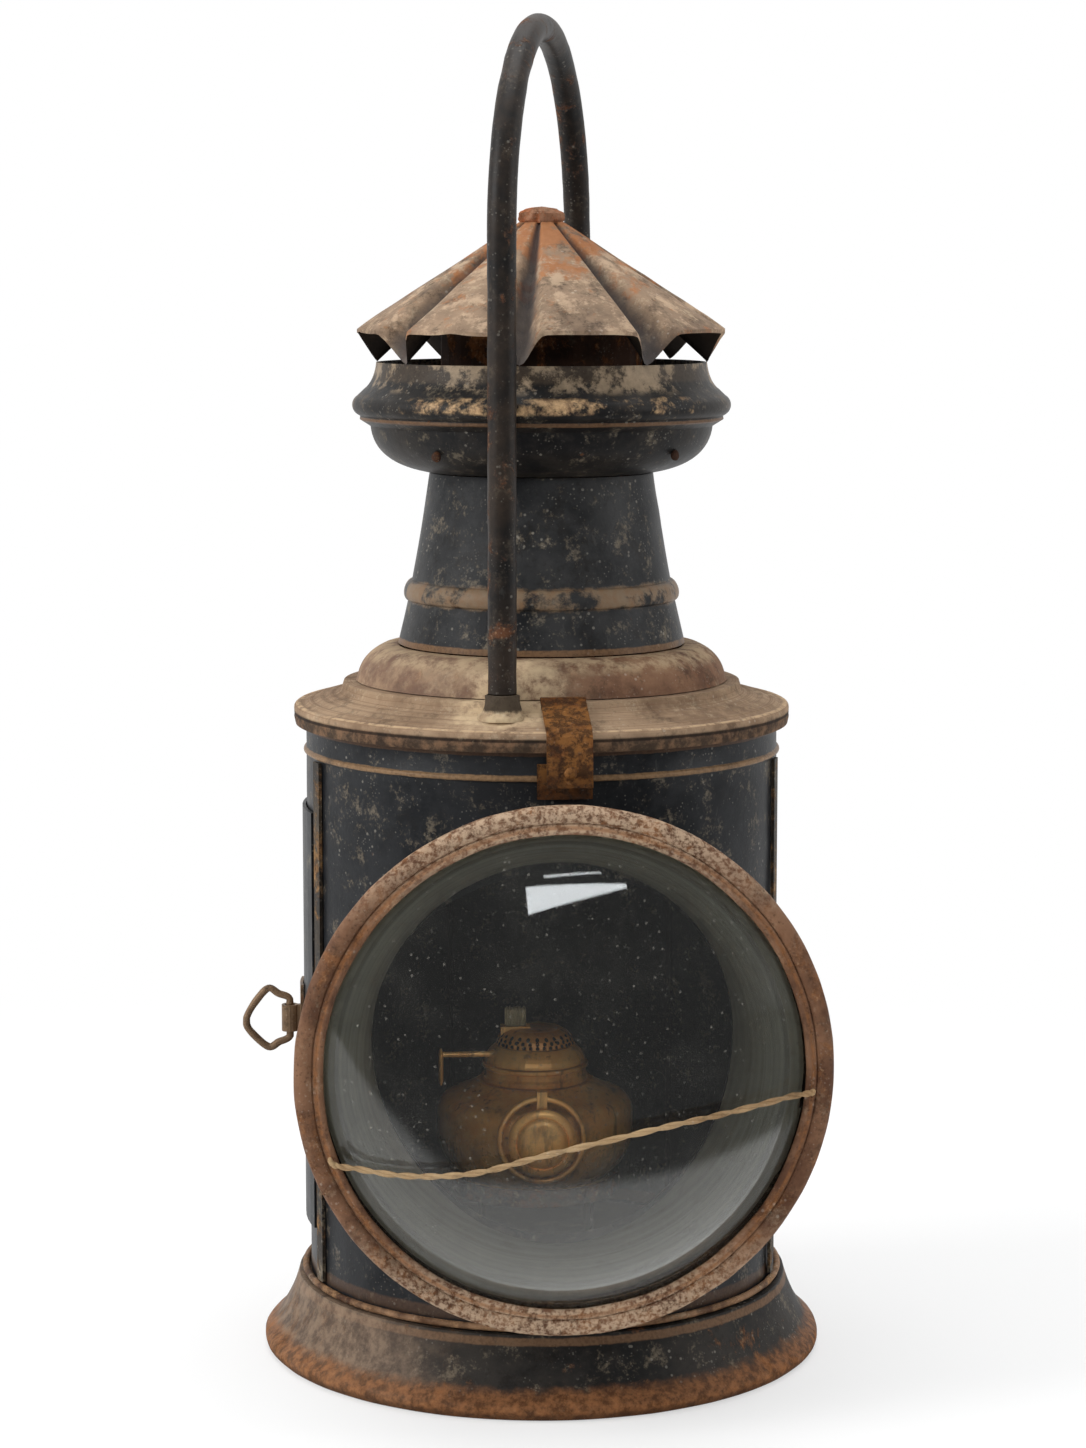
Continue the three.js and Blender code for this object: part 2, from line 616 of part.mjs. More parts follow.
// Top: the flange with its rolled lip, the step and the bell-shaped dome.
const lipLow = caseTopZ + gap;
const lipHigh = lipLow + lipH;
const lipRound = 1.4;
const bellR = stepR - 2.2;
const flangeOuter = [
  [flangeR - 0.4, lipLow],
  ...arc(flangeR - lipRound, lipLow + lipRound + 0.6, lipRound, -20, 20, 1),
  ...arc(flangeR - lipRound, lipHigh - lipRound, lipRound, 0, 90, 3),
];
part('top_flange', revolve([
  [caseInnerR - gap - 3.4, lipLow],
  ...flangeOuter,
  [stepR + 1.2, stepZ - 2.2],
  [stepR, stepZ],
  [bellR - 4, stepZ],
  [bellR - 4, stepZ - topSheet],
  [stepR - 1, stepZ - topSheet],
  [stepR, stepZ - 2.2 - topSheet],
  [flangeR - lipRound - 2, lipHigh - topSheet - 0.6],
  [caseInnerR - gap - 2.4, lipLow + 1.4],
]), ...roofMetal);
const domeLow = stepZ + gap;
const domeOuter = bend([bellR, domeLow], [bellR - 6.6, domeLow + 3.6], [domeTopR + 0.6, domeTopZ], 4);
const domeInner = domeOuter.map(([r, z]) => [r - topSheet, z - 0.4]).reverse();
domeInner[domeInner.length - 1] = [bellR - 1.8, domeLow];
part('dome', revolve([...domeOuter, ...domeInner], mid), 0x8a6f5c, 0.8, 0.3);

// Tapered chimney with a rolled bead, and the flue tube inside it.
const chimneyLow = domeTopZ + gap;
function chimneyAt(z) {
  const t = (z - chimneyLow) / (chimneyTopZ - chimneyLow);
  return domeTopR + (chimneyTopR - domeTopR) * (t + 0.55 * t * (1 - t) * 0.5);
}
const chimneyLevels = [0, 0.14, 0.5, 0.64, 0.82, 1].map((t) => chimneyLow + t * (chimneyTopZ - chimneyLow));
const below = chimneyLevels.filter((z) => z < chimneyBeadZ - 4).map((z) => [chimneyAt(z), z]);
const above = chimneyLevels.filter((z) => z > chimneyBeadZ + 4).map((z) => [chimneyAt(z), z]);
const beadHalf = 3;
part('chimney', revolve([
  ...below,
  ...Array.from({ length: 5 }, (_, i) => {
    const a = rad(-90 + 45 * i);
    const z = chimneyBeadZ + beadHalf * Math.sin(a);
    return [chimneyAt(z) + chimneyBeadR * Math.cos(a), z];
  }),
  ...above,
  ...[...above].reverse().map(([r, z]) => [r - topSheet, z]),
  ...[...below].reverse().map(([r, z]) => [r - topSheet, z]),
], mid), ...paint);
const flueLow = domeTopZ - 8;
const flueFlange = chimneyTopZ - 7;
part('flue_tube', revolve([[flueR - topSheet, flueLow], [flueR, flueLow], [flueR, flueFlange],
  [chimneyAt(flueFlange + topSheet) - topSheet - gap, flueFlange],
  [chimneyAt(flueFlange + topSheet) - topSheet - gap, flueFlange + topSheet],
  [flueR, flueFlange + topSheet], [flueR, flueTopZ], [flueR - topSheet, flueTopZ]], mid), ...rust);

// Cowl: a bowl round the flue, with a fat bead under its rim.
const cowlLow = chimneyTopZ + gap;
const bowlFoot = chimneyTopR - topSheet;
const bowlOuter = bend([bowlFoot + 1.5, cowlLow], [cowlR - 6.8, cowlLow + 2.4],
  [cowlR - 5.5, cowlBeadZ - 6.2], 4);
const rimOuter = bend([cowlR - 3.6, cowlBeadZ + 4.6], [cowlRimR + 0.6, cowlBeadZ + 6.8],
  [cowlRimR, cowlRimZ], 2);
part('cowl', revolve([
  [bowlFoot, cowlLow],
  ...bowlOuter,
  [cowlR - 2.2, cowlBeadZ - 4.2],
  [cowlR - 2.4, cowlBeadZ - 3.2],
  ...arc(cowlR - cowlBeadR, cowlBeadZ, cowlBeadR, -55, 55, 3),
  ...rimOuter,
  [cowlRimR - topSheet, cowlRimZ],
  [cowlRimR - topSheet, cowlBeadZ + 6.4],
  [cowlR - 5.4, cowlBeadZ + 2],
  [cowlR - 5.4, cowlBeadZ - 4],
  ...[...bowlOuter].reverse().slice(0, -1).map(([r, z]) => [r - topSheet, z + topSheet * 0.8]),
  [bowlFoot, cowlLow + topSheet],
], mid), ...paint);
for (let i = 0; i < 4; i += 1) {
  const azimuth = 90 * i + 48;
  const z = cowlLow + 6.2;
  part(`cowl_rivet_${i + 1}`, new THREE.SphereGeometry(1.7, 8, 5).scale(1, 0.6, 1)
    .translate(0, -(bowlAt(z) + gap + 1.35), z).rotateZ(rad(azimuth)), ...rust);
}
function bowlAt(z) {
  const next = bowlOuter.findIndex(([, level]) => level >= z);
  const [[r0, z0], [r1, z1]] = [bowlOuter[next - 1], bowlOuter[next]];
  return r0 + (r1 - r0) * (z - z0) / (z1 - z0);
}

// Fluted roof: flat-topped arches run from the peak to the eaves, and narrow troughs drain onto the
// cowl's rim. The peak is cut flat and a lumpy cap sits on it.
const acrossFlute = [0, 0.06, 0.14, 0.3, 0.5, 0.7, 0.86, 0.94];
const troughFrom = 0.62;
function crownAt(share) {
  return 1 - THREE.MathUtils.smoothstep(Math.abs(2 * share - 1), troughFrom, 1);
}
const roofFlatZ = roofPeakZ - roofHub * (roofPeakZ - eavesRidgeZ);
function flutedRoof() {
  const perFlute = acrossFlute.length;
  const spokes = flutes * perFlute;
  const rings = [0, roofHub, 0.4, 0.7, 1];
  const valleyZ = cowlRimZ + gap + roofSheet;
  const valleyR = cowlRimR + 0.4;
  const vertices = [0, 0, roofFlatZ - 0.6, 0, 0, roofFlatZ - 0.6 - roofSheet];
  const faces = [];
  const at = (ring, spoke, under) => 2 + ((ring - 1) * spokes + (spoke % spokes)) * 2 + under;
  for (let ring = 1; ring < rings.length; ring += 1) {
    const t = rings[ring];
    for (let spoke = 0; spoke < spokes; spoke += 1) {
      const share = acrossFlute[spoke % perFlute];
      const crown = crownAt(share);
      const r = (valleyR + (eavesR - valleyR) * crown) * t;
      const z = roofPeakZ + (valleyZ + (eavesRidgeZ - valleyZ) * crown - roofPeakZ) * t;
      const p = around(r, firstValley + 360 * (Math.floor(spoke / perFlute) + share) / flutes, z);
      vertices.push(p.x, p.y, p.z, p.x, p.y, p.z - roofSheet);
    }
  }
  const last = rings.length - 1;
  for (let spoke = 0; spoke < spokes; spoke += 1) {
    const next = spoke + 1;
    faces.push(0, at(1, spoke, 0), at(1, next, 0), 1, at(1, next, 1), at(1, spoke, 1));
    for (let ring = 1; ring < last; ring += 1) {
      const [a, b] = [at(ring, spoke, 0), at(ring, next, 0)];
      const [c, d] = [at(ring + 1, spoke, 0), at(ring + 1, next, 0)];
      faces.push(a, c, d, a, d, b, a + 1, d + 1, c + 1, a + 1, b + 1, d + 1);
    }
    const [e, f] = [at(last, spoke, 0), at(last, next, 0)];
    faces.push(e, e + 1, f + 1, e, f + 1, f);
  }
  const geometry = new THREE.BufferGeometry();
  geometry.setAttribute('position', new THREE.BufferAttribute(new Float32Array(vertices), 3));
  geometry.setIndex(faces);
  return geometry;
}
part('roof', flutedRoof(), ...roofMetal);
const finialLow = roofFlatZ + gap;
part('roof_finial', revolve([[0, finialLow], [finialR - 0.5, finialLow], [finialR, finialLow + 1],
  [finialR - 0.9, finialLow + 0.65 * finialH], [finialR * 0.5, finialLow + 0.93 * finialH],
  [0, finialLow + finialH]], 16), ...rust);

// Handle: one rod arched from front to back over the roof, with a solder patch at each foot.
const legR = cowlR + gap + handleRodR;
const footLow = stepZ + gap;
const archR = legR;
const archZ = handleTopZ - handleRodR - archR;
const rodLow = footLow + footPatchH + gap;
const rodPoints = [
  [-legR, rodLow], [-legR, rodLow + 8], [-legR, (rodLow + archZ) / 2], [-legR, archZ - 12],
  ...[0, 30, 60, 90, 120, 150, 180].map(rad)
    .map((a) => [-archR * Math.cos(a), archZ + archR * Math.sin(a)]),
  [legR, archZ - 12], [legR, (rodLow + archZ) / 2], [legR, rodLow + 8], [legR, rodLow],
].map(([out, z]) => around(-out, handleAngle, z));
part('handle', rodAlong(rodPoints, handleRodR, 10, 34), 0x2c2622, 0.7, 0.5);
const footRoom = revolve([[0, lipLow], [flangeR, lipLow], [flangeR, lipHigh + gap],
  [flangeR - lipRound, lipHigh + gap], [stepR + 1.2 + gap, stepZ - 2.2 + gap], [stepR + gap, stepZ + gap],
  [bellR + 2 * gap, stepZ + gap], [bellR - 3.4 + 2 * gap, domeLow + 3.4], [domeTopR + 2, domeTopZ + 4],
  [0, domeTopZ + 4]]);
for (const [side, name] of [[0, 'front'], [180, 'back']]) {
  const foot = around(legR, handleAngle + side, 0);
  const pad = disc(footPatchR, stepZ - 8, footLow + footPatchH, small).translate(foot.x, foot.y, 0);
  part(`handle_foot_${name}`, cut(pad, footRoom), ...roofMetal);
}

// A flat strip bent along [radius, height] points and laid across an azimuth.
function ribbon(points, thick, wide, azimuth) {
  const path = points.map(([r, z]) => new THREE.Vector2(r, z));
  const normals = path.map((p, i) => {
    const along = path[Math.min(i + 1, path.length - 1)].clone().sub(path[Math.max(i - 1, 0)]).normalize();
    return new THREE.Vector2(-along.y, along.x).multiplyScalar(thick / 2);
  });
  const left = path.map((p, i) => p.clone().add(normals[i]));
  const right = path.map((p, i) => p.clone().sub(normals[i])).reverse();
  const outline = new THREE.Shape([...left, ...right]);
  return new THREE.ExtrudeGeometry(outline, { depth: wide, bevelEnabled: false })
    .rotateX(Math.PI / 2).translate(0, wide / 2, 0).rotateZ(rad(azimuth - 90));
}

// Front strap of the top, its rivet, and the keeper on the case behind it.
const strapOut = flangeR + gap + bandThick / 2;
part('front_strap', ribbon([
  [bellR + 1.3, stepZ + gap + bandThick / 2],
  [stepR + 0.4, stepZ + gap + bandThick / 2],
  [stepR + 2.4, stepZ - 0.5],
  [flangeR - lipRound - 0.6, lipHigh + gap + bandThick / 2 + 0.2],
  [flangeR - 0.1, lipHigh + 0.5],
  [strapOut + 0.3, lipHigh - 1.4],
  [strapOut + 1, lipLow],
  [strapOut + 1.6, strapEndZ],
], bandThick, strapWidth, strapAngle), ...rust);
const strapFace = strapOut + 1.6 + bandThick / 2;
part('strap_rivet', new THREE.SphereGeometry(1.9, 8, 5).scale(1, 0.5, 1)
  .translate(0, -(strapFace + gap + 0.75), strapEndZ + 4.4).rotateZ(rad(strapAngle)), ...rust);
const keeperIn = caseR + upperBeadR + gap;
const keeperStud = disc(2.2, keeperIn + 0.2, strapOut + 1 - bandThick / 2 - running, 16).rotateX(Math.PI / 2)
  .translate(0, 0, strapEndZ + 3).rotateZ(rad(strapAngle));
part('strap_keeper', fuse(band(keeperIn, keeperIn + bandThick, strapAngle - 7, strapAngle + 5.4,
  upperBeadZ - 5.4, upperBeadZ + 4.6, 4), keeperStud), ...rust);

// Rear hinge of the top.
const topHingeY = flangeR + gap + topBarrelR + 0.9;
const boreEnd = topHingeSpan + 5;
const barrelCut = barAlongX(topHingePinR + running, -boreEnd, boreEnd, topHingeY, topHingeZ);
const middle = topHingeSpan / 3;
const [nearSide, farSide] = [keeperIn + 0.3, topHingeY];
const caseKnuckles = [[-topHingeSpan, -middle - gap], [middle + gap, topHingeSpan]].flatMap(([from, to]) => [
  barAlongX(topBarrelR, from, to, topHingeY, topHingeZ),
  box((from + to) / 2, (nearSide + farSide) / 2, topHingeZ - topBarrelR - 0.1,
    to - from, farSide - nearSide, 1.8),
]);
part('top_hinge_leaf_case', cut(fuse(band(keeperIn, keeperIn + bandThick, 180 - 12.5, 180 + 12.5,
  topHingeZ - topLeafH, topHingeZ - topBarrelR + 0.4, 5), ...caseKnuckles), barrelCut), ...rust);
part('top_hinge_leaf_top', cut(fuse(
  band(flangeR + gap, flangeR + gap + bandThick, 180 - 3.6, 180 + 3.6, lipLow + 0.4, lipHigh, 3),
  box(0, flangeR + gap + 0.3 + 1.6, lipLow + 0.1, 2 * middle - 0.4, 3.2, 1.8),
  barAlongX(topBarrelR, -middle, middle, topHingeY, topHingeZ)), barrelCut), ...rust);
const pinEnd = topHingeSpan + 1.4;
part('top_hinge_pin', fuse(barAlongX(topHingePinR, -pinEnd, pinEnd, topHingeY, topHingeZ, 16),
  barAlongX(1.9, topHingeSpan + gap, topHingeSpan + 1.6, topHingeY, topHingeZ, 16),
  barAlongX(1.9, -topHingeSpan - 1.6, -topHingeSpan - gap, topHingeY, topHingeZ, 16)), ...rust);

export default parts;
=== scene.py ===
# %% [markdown]
# A railway signal lantern, dressed for a photograph.
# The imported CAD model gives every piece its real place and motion. This lesson builds the finer
# surfaces that the eye sees: spun sheet metal with soft dents, a fluted roof, a domed glass, an
# aged brass lamp, and the rust, dust and worn paint on all of them.

# %% Load the fixed frame
import bmesh
import bpy
import json
import math
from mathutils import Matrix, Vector, noise


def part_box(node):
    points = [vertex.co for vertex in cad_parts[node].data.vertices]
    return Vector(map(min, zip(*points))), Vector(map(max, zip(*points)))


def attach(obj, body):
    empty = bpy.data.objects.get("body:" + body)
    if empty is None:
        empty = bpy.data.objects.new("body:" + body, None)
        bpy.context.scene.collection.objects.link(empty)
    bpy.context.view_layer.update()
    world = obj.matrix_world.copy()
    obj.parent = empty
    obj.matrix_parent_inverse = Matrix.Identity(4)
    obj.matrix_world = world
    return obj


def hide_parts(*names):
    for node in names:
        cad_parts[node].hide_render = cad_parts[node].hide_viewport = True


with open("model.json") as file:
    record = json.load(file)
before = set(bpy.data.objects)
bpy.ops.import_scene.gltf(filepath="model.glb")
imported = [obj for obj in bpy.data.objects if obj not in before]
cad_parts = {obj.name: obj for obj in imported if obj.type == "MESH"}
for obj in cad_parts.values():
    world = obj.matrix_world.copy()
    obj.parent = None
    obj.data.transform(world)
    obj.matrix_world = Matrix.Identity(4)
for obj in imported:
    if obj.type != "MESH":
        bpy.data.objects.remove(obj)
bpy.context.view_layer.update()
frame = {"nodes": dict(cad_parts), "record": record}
MM = 0.001
NODES = frame["nodes"]
BODY = {node: body for body, nodes in frame["record"]["behaviour"]["bodies"].items() for node in nodes}

# %% [markdown]
# The camera stands where the photographer stood. Straight edges that should meet, and the way the
# rims curve, give a distance of about a metre and a view from a little above. The lantern's lens
# looks a few degrees to the right of the camera, so the camera stands that much to the left.

# %% Camera
def put(name, data):
    """A new object in the scene that shows some data."""
    made = bpy.data.objects.new(name, data)
    bpy.context.scene.collection.objects.link(made)
    return made


CAMERA_DISTANCE = 1.042
CAMERA_HEIGHT = 0.3258
CAMERA_PITCH = math.radians(7.45)
LENS_TURN = math.radians(4.0)
FOCAL_PIXELS = 3486
PHOTO_WIDE, PHOTO_HIGH = 1086, 1448
AXIS_COLUMN = 541.5
SENSOR_WIDE = 36

camera = put("camera", bpy.data.cameras.new("camera"))
bpy.context.scene.camera = camera
camera.data.sensor_width = SENSOR_WIDE
camera.data.lens = FOCAL_PIXELS / PHOTO_HIGH * SENSOR_WIDE
camera.data.shift_x = (PHOTO_WIDE / 2 - AXIS_COLUMN) / PHOTO_HIGH
camera.location = (-CAMERA_DISTANCE * math.sin(LENS_TURN), -CAMERA_DISTANCE * math.cos(LENS_TURN),
                   CAMERA_HEIGHT)
camera.rotation_euler = (math.radians(90) - CAMERA_PITCH, 0, -LENS_TURN)
print("lens", round(camera.data.lens, 2), "mm")

# %% [markdown]
# Shader maths reads like ordinary Python here. A Socket wraps the output of a node, and each
# operator adds the Math node that does the sum. A Finish is one material, or the room around the
# lantern: it makes nodes, mixes colours, and keeps the few patterns that weathered metal needs.

# %% A small language for materials
class Socket:
    def __init__(self, finish, link):
        self.finish = finish
        self.link = link

    def maths(self, operation, other=None, swap=False, clamp=False):
        """One Math node on this value, with a second value where the operation takes two."""
        pair = [self] if other is None else ([other, self] if swap else [self, other])
        return self.finish.node("ShaderNodeMath", {"operation": operation, "use_clamp": clamp},
                                dict(enumerate(pair)))

    def __add__(self, other):
        return self.maths("ADD", other)

    def __sub__(self, other):
        return self.maths("SUBTRACT", other)

    def __rsub__(self, other):
        return self.maths("SUBTRACT", other, swap=True)

    def __mul__(self, other):
        return self.maths("MULTIPLY", other)

    def __truediv__(self, other):
        return self.maths("DIVIDE", other)

    __radd__ = __add__
    __rmul__ = __mul__

    def most(self, other):
        return self.maths("MAXIMUM", other)

    def least(self, other):
        return self.maths("MINIMUM", other)

    def held(self):
        """The value kept between 0 and 1."""
        return self.maths("ADD", 0.0, clamp=True)

    def ramp(self, low, high):
        """0 at low, 1 at high, eased between them."""
        return self.finish.node("ShaderNodeMapRange", {"interpolation_type": "SMOOTHSTEP"},
                                {"Value": self, "From Min": low, "From Max": high})

    def around(self, middle, near, far):
        """1 close to a middle value, eased to 0 between two distances from it."""
        return 1 - (self - middle).maths("ABSOLUTE").ramp(near, far)


def reach_of(x, y):
    """How far a point lies from the origin, from two sockets."""
    return (x * x + y * y).maths("SQRT")


class Finish:
    def __init__(self, name, library=bpy.data.materials, output="ShaderNodeOutputMaterial"):
        self.owner = library.new(name)
        self.owner.use_nodes = True
        self.tree = self.owner.node_tree
        self.tree.nodes.clear()
        self.out = self.tree.nodes.new(output)
        self.place = self.node("ShaderNodeTexCoord", {}, {}, "Object")
        self.facing = self.node("ShaderNodeTexCoord", {}, {}, "Normal")

    def node(self, kind, settings, inputs, output=0):
        """One node, from its type, its settings, and the values or links of its sockets."""
        made = self.tree.nodes.new(kind)
        for key, value in settings.items():
            setattr(made, key, value)
        for key, value in inputs.items():
            if isinstance(value, Socket):
                self.tree.links.new(value.link, made.inputs[key])
            else:
                made.inputs[key].default_value = value
        return Socket(self, made.outputs[output])

    def spot(self, shift, stretch=None):
        """Where a pattern is read: stretched, then shifted so that no two patterns agree."""
        where = self.place
        if stretch:
            where = self.node("ShaderNodeMapping", {}, {"Vector": where, "Scale": stretch})
        if shift:
            where = self.node("ShaderNodeVectorMath", {"operation": "ADD"},
                              {0: where, 1: (shift, shift, shift)})
        return where

    def noise(self, size_mm, detail=5, rough=0.7, stretch=None, shift=0, twist=0.0):
        """Cloudy noise from 0 to 1, with patches of about size_mm."""
        return self.node("ShaderNodeTexNoise", {}, {
            "Vector": self.spot(shift, stretch), "Scale": 1 / (size_mm * MM), "Detail": detail,
            "Roughness": rough, "Distortion": twist}, "Fac")

    def rings(self, along, detail):
        """Noise in one direction only, like the rings that a lathe leaves."""
        return self.node("ShaderNodeTexNoise", {"noise_dimensions": "1D"},
                         {"W": along, "Detail": detail}, "Fac")

    def specks(self, size_mm, radius, shift=0):
        """Small round spots, 1 in the middle of each and 0 between them."""
        gap = self.node("ShaderNodeTexVoronoi", {"feature": "F1"},
                        {"Vector": self.spot(shift), "Scale": 1 / (size_mm * MM)}, "Distance")
        return 1 - gap.ramp(radius * 0.5, radius)

    def axis(self, name):
        """X, Y or Z of the point that is shaded, in millimetres."""
        return self.node("ShaderNodeSeparateXYZ", {}, {0: self.place}, name) * 1000

    def height(self):
        return self.axis("Z")

    def radius(self):
        return reach_of(self.axis("X"), self.axis("Y"))

    def faces(self, name):
        """How far the surface faces along X, Y or Z, from -1 to 1."""
        return self.node("ShaderNodeSeparateXYZ", {}, {0: self.facing}, name)

    def ray(self, kind):
        """1 for rays of one kind, such as Camera or Glossy, and 0 for all others."""
        return self.node("ShaderNodeLightPath", {}, {}, f"Is {kind} Ray")

    def mix(self, factor, first, second):
        return self.node("ShaderNodeMix", {"data_type": "RGBA"}, {0: factor, 6: first, 7: second}, 2)

    def coats(self, colour, *coats):
        """Lays coats over a colour in turn, each given as its mask and its own colour."""
        for mask, coat in coats:
            colour = self.mix(mask, colour, coat)
        return colour

    def blend(self, factor, first, second):
        return self.node("ShaderNodeMixShader", {}, {0: factor, 1: first, 2: second})

    def show(self, shader):
        """Sends a shader to the output, and hands over the material."""
        self.tree.links.new(shader.link, self.out.inputs["Surface"])
        return self.owner

    def surface(self, colour, roughness, metallic, bump, bump_mm, **sockets):
        """A Principled surface, with a bump that stands up to bump_mm high."""
        inputs = {key.replace("_", " "): value for key, value in sockets.items()}
        push = {"Height": bump, "Distance": bump_mm * MM, "Strength": 0.8}
        inputs.update({"Base Color": colour, "Roughness": roughness, "Metallic": metallic,
                       "Normal": self.node("ShaderNodeBump", {}, push)})
        return self.show(self.node("ShaderNodeBsdfPrincipled", {}, inputs))


def tone(red, green, blue):
    """A colour as it looks on the photograph, 0 to 255, turned into Blender's linear light."""
    def linear(v):
        v = v / 255
        return v / 12.92 if v <= 0.04045 else ((v + 0.055) / 1.055) ** 2.4
    return (linear(red), linear(green), linear(blue), 1)


RUST = tone(128, 80, 46)
DARK_RUST = tone(66, 42, 28)
PALE_RUST = tone(168, 132, 100)
CREAM = tone(196, 178, 150)
GREY = tone(92, 90, 86)
SOOT = tone(26, 22, 19)
LIME = tone(205, 198, 184)
SOLDER = tone(206, 182, 148)
print("material language ready")

# %% [markdown]
# Spun and rolled sheet is round, but never perfectly so. A turned outline with many sides gives the
# form, and a little smooth noise pushed into the radius gives the soft dents of a century's use. The
# same function makes every round piece, so they all share one hand.

# %% Turned sheet metal
def weld(piece):
    """Merges points that meet, drops slivers and turns all faces outward."""
    work = bmesh.new()
    work.from_mesh(piece.data)
    bmesh.ops.remove_doubles(work, verts=work.verts, dist=1e-6)
    bmesh.ops.dissolve_degenerate(work, edges=work.edges, dist=1e-7)
    bmesh.ops.recalc_face_normals(work, faces=work.faces)
    work.to_mesh(piece.data)
    work.free()
    piece.data.update()


def raw_piece(name, vertices, faces, welded=True):
    """A bare mesh in the scene, not yet dressed."""
    mesh = bpy.data.meshes.new(name)
    mesh.from_pydata([tuple(v) for v in vertices], [], faces)
    piece = put(name, mesh)
    if welded:
        weld(piece)
    return piece


def paint(piece, finish):
    """Gives a piece one finish and nothing else."""
    piece.data.materials.clear()
    piece.data.materials.append(finish)


def dress(piece, node, finish, smooth=40):
    """Gives a piece its finish and soft shading, seats it on its body and takes over its CAD node."""
    paint(piece, finish)
    piece.data.shade_smooth()
    if smooth < 180:
        piece.data.set_sharp_from_angle(angle=math.radians(smooth))
    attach(piece, BODY[node])
    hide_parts(node)
    print(piece.name, len(piece.data.polygons), "faces for", node)


def new_piece(name, vertices, faces, node, finish, smooth=40):
    """A piece that uses its points and faces just as they come."""
    piece = raw_piece(name, vertices, faces, welded=False)
    piece.data.validate()
    piece.data.update()
    dress(piece, node, finish, smooth)


def keep(finish, *nodes):
    """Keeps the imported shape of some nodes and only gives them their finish."""
    for node in nodes:
        paint(NODES[node], finish)
    print("kept", ", ".join(nodes))


def wander(x, y, z):
    """A smooth value from 0 up that wanders with its place, and is the same on every run."""
    return abs(noise.noise(Vector((x, y, z))))


def dent(point, depth_mm, size_mm, seed=0.0):
    """How far a dented sheet is pushed in at a point, in millimetres."""
    if not depth_mm:
        return 0.0
    x, y, z = point
    return -wander(x / size_mm + seed, y / size_mm - seed, z / size_mm + 2 * seed) * depth_mm


def divided(outline, step):
    """A closed outline with its long sides divided, so that dents have points to move."""
    dense = []
    for (r0, z0), (r1, z1) in zip(outline, outline[1:] + outline[:1]):
        parts = max(1, int(math.hypot(r1 - r0, z1 - z0) / step))
        dense += [(r0 + (r1 - r0) * i / parts, z0 + (z1 - z0) * i / parts) for i in range(parts)]
    return dense


def lattice(rows, count):
    """Faces between rows of points, closed both along the rows and across them."""
    faces = []
    for row in range(rows):
        here, there = row * count, (row + 1) % rows * count
        faces += [(here + i, there + i, there + (i + 1) % count, here + (i + 1) % count)
                  for i in range(count)]
    return faces


def turned(outline, sides=180, depth=0.0, size=30.0, seed=0.0, step=2.5):
    """Vertices and faces of a closed outline of (radius, height) turned about +Z, in metres."""
    ring = divided(outline, step)
    vertices = []
    for side in range(sides):
        angle = 2 * math.pi * side / sides
        c, s = math.cos(angle), math.sin(angle)
        for r, z in ring:
            push = dent((r * c, r * s, z), depth, size, seed) if r > 1 else 0.0
            vertices.append(((r + push) * c * MM, (r + push) * s * MM, z * MM))
    on_axis = [r < 1e-6 for r, z in ring]
    count = len(ring)
    return vertices, [face for face in lattice(sides, count)
                      if not (on_axis[face[0] % count] and on_axis[face[2] % count])]


def spin(name, outline, node, finish, move=None, smooth=40, **how):
    """A turned piece, moved to its own axis where it has one."""
    vertices, faces = turned(outline, **how)
    if move:
        vertices = [move(v) for v in vertices]
    dress(raw_piece(name, vertices, faces), node, finish, smooth)


def arc(cx, cz, radius, start, end, steps):
    """Points round part of a circle, angles in degrees."""
    turn = [math.radians(start + (end - start) * i / steps) for i in range(steps + 1)]
    return [(cx + radius * math.cos(a), cz + radius * math.sin(a)) for a in turn]


def bend(start, pull, end, steps):
    """Points on a curve from start to end that leans towards pull."""
    points = []
    for i in range(steps + 1):
        t = i / steps
        points.append(tuple((1 - t) ** 2 * a + 2 * t * (1 - t) * b + t * t * c
                            for a, b, c in zip(start, pull, end)))
    return points


def node_mm(node):
    """Lowest and highest corner of a CAD node, in millimetres."""
    low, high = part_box(node)
    return low / MM, high / MM


print("sheet metal tools ready")

# %% [markdown]
# Old japanned sheet has four layers to paint: a black coat that has faded to grey in clouds, rust
# that breaks through in patches, pale dust in fine specks, and scuffs. One function mixes them, and
# each piece asks for more or less of each layer. Extra masks, such as a rusty lower edge, are added
# by the piece that needs them.

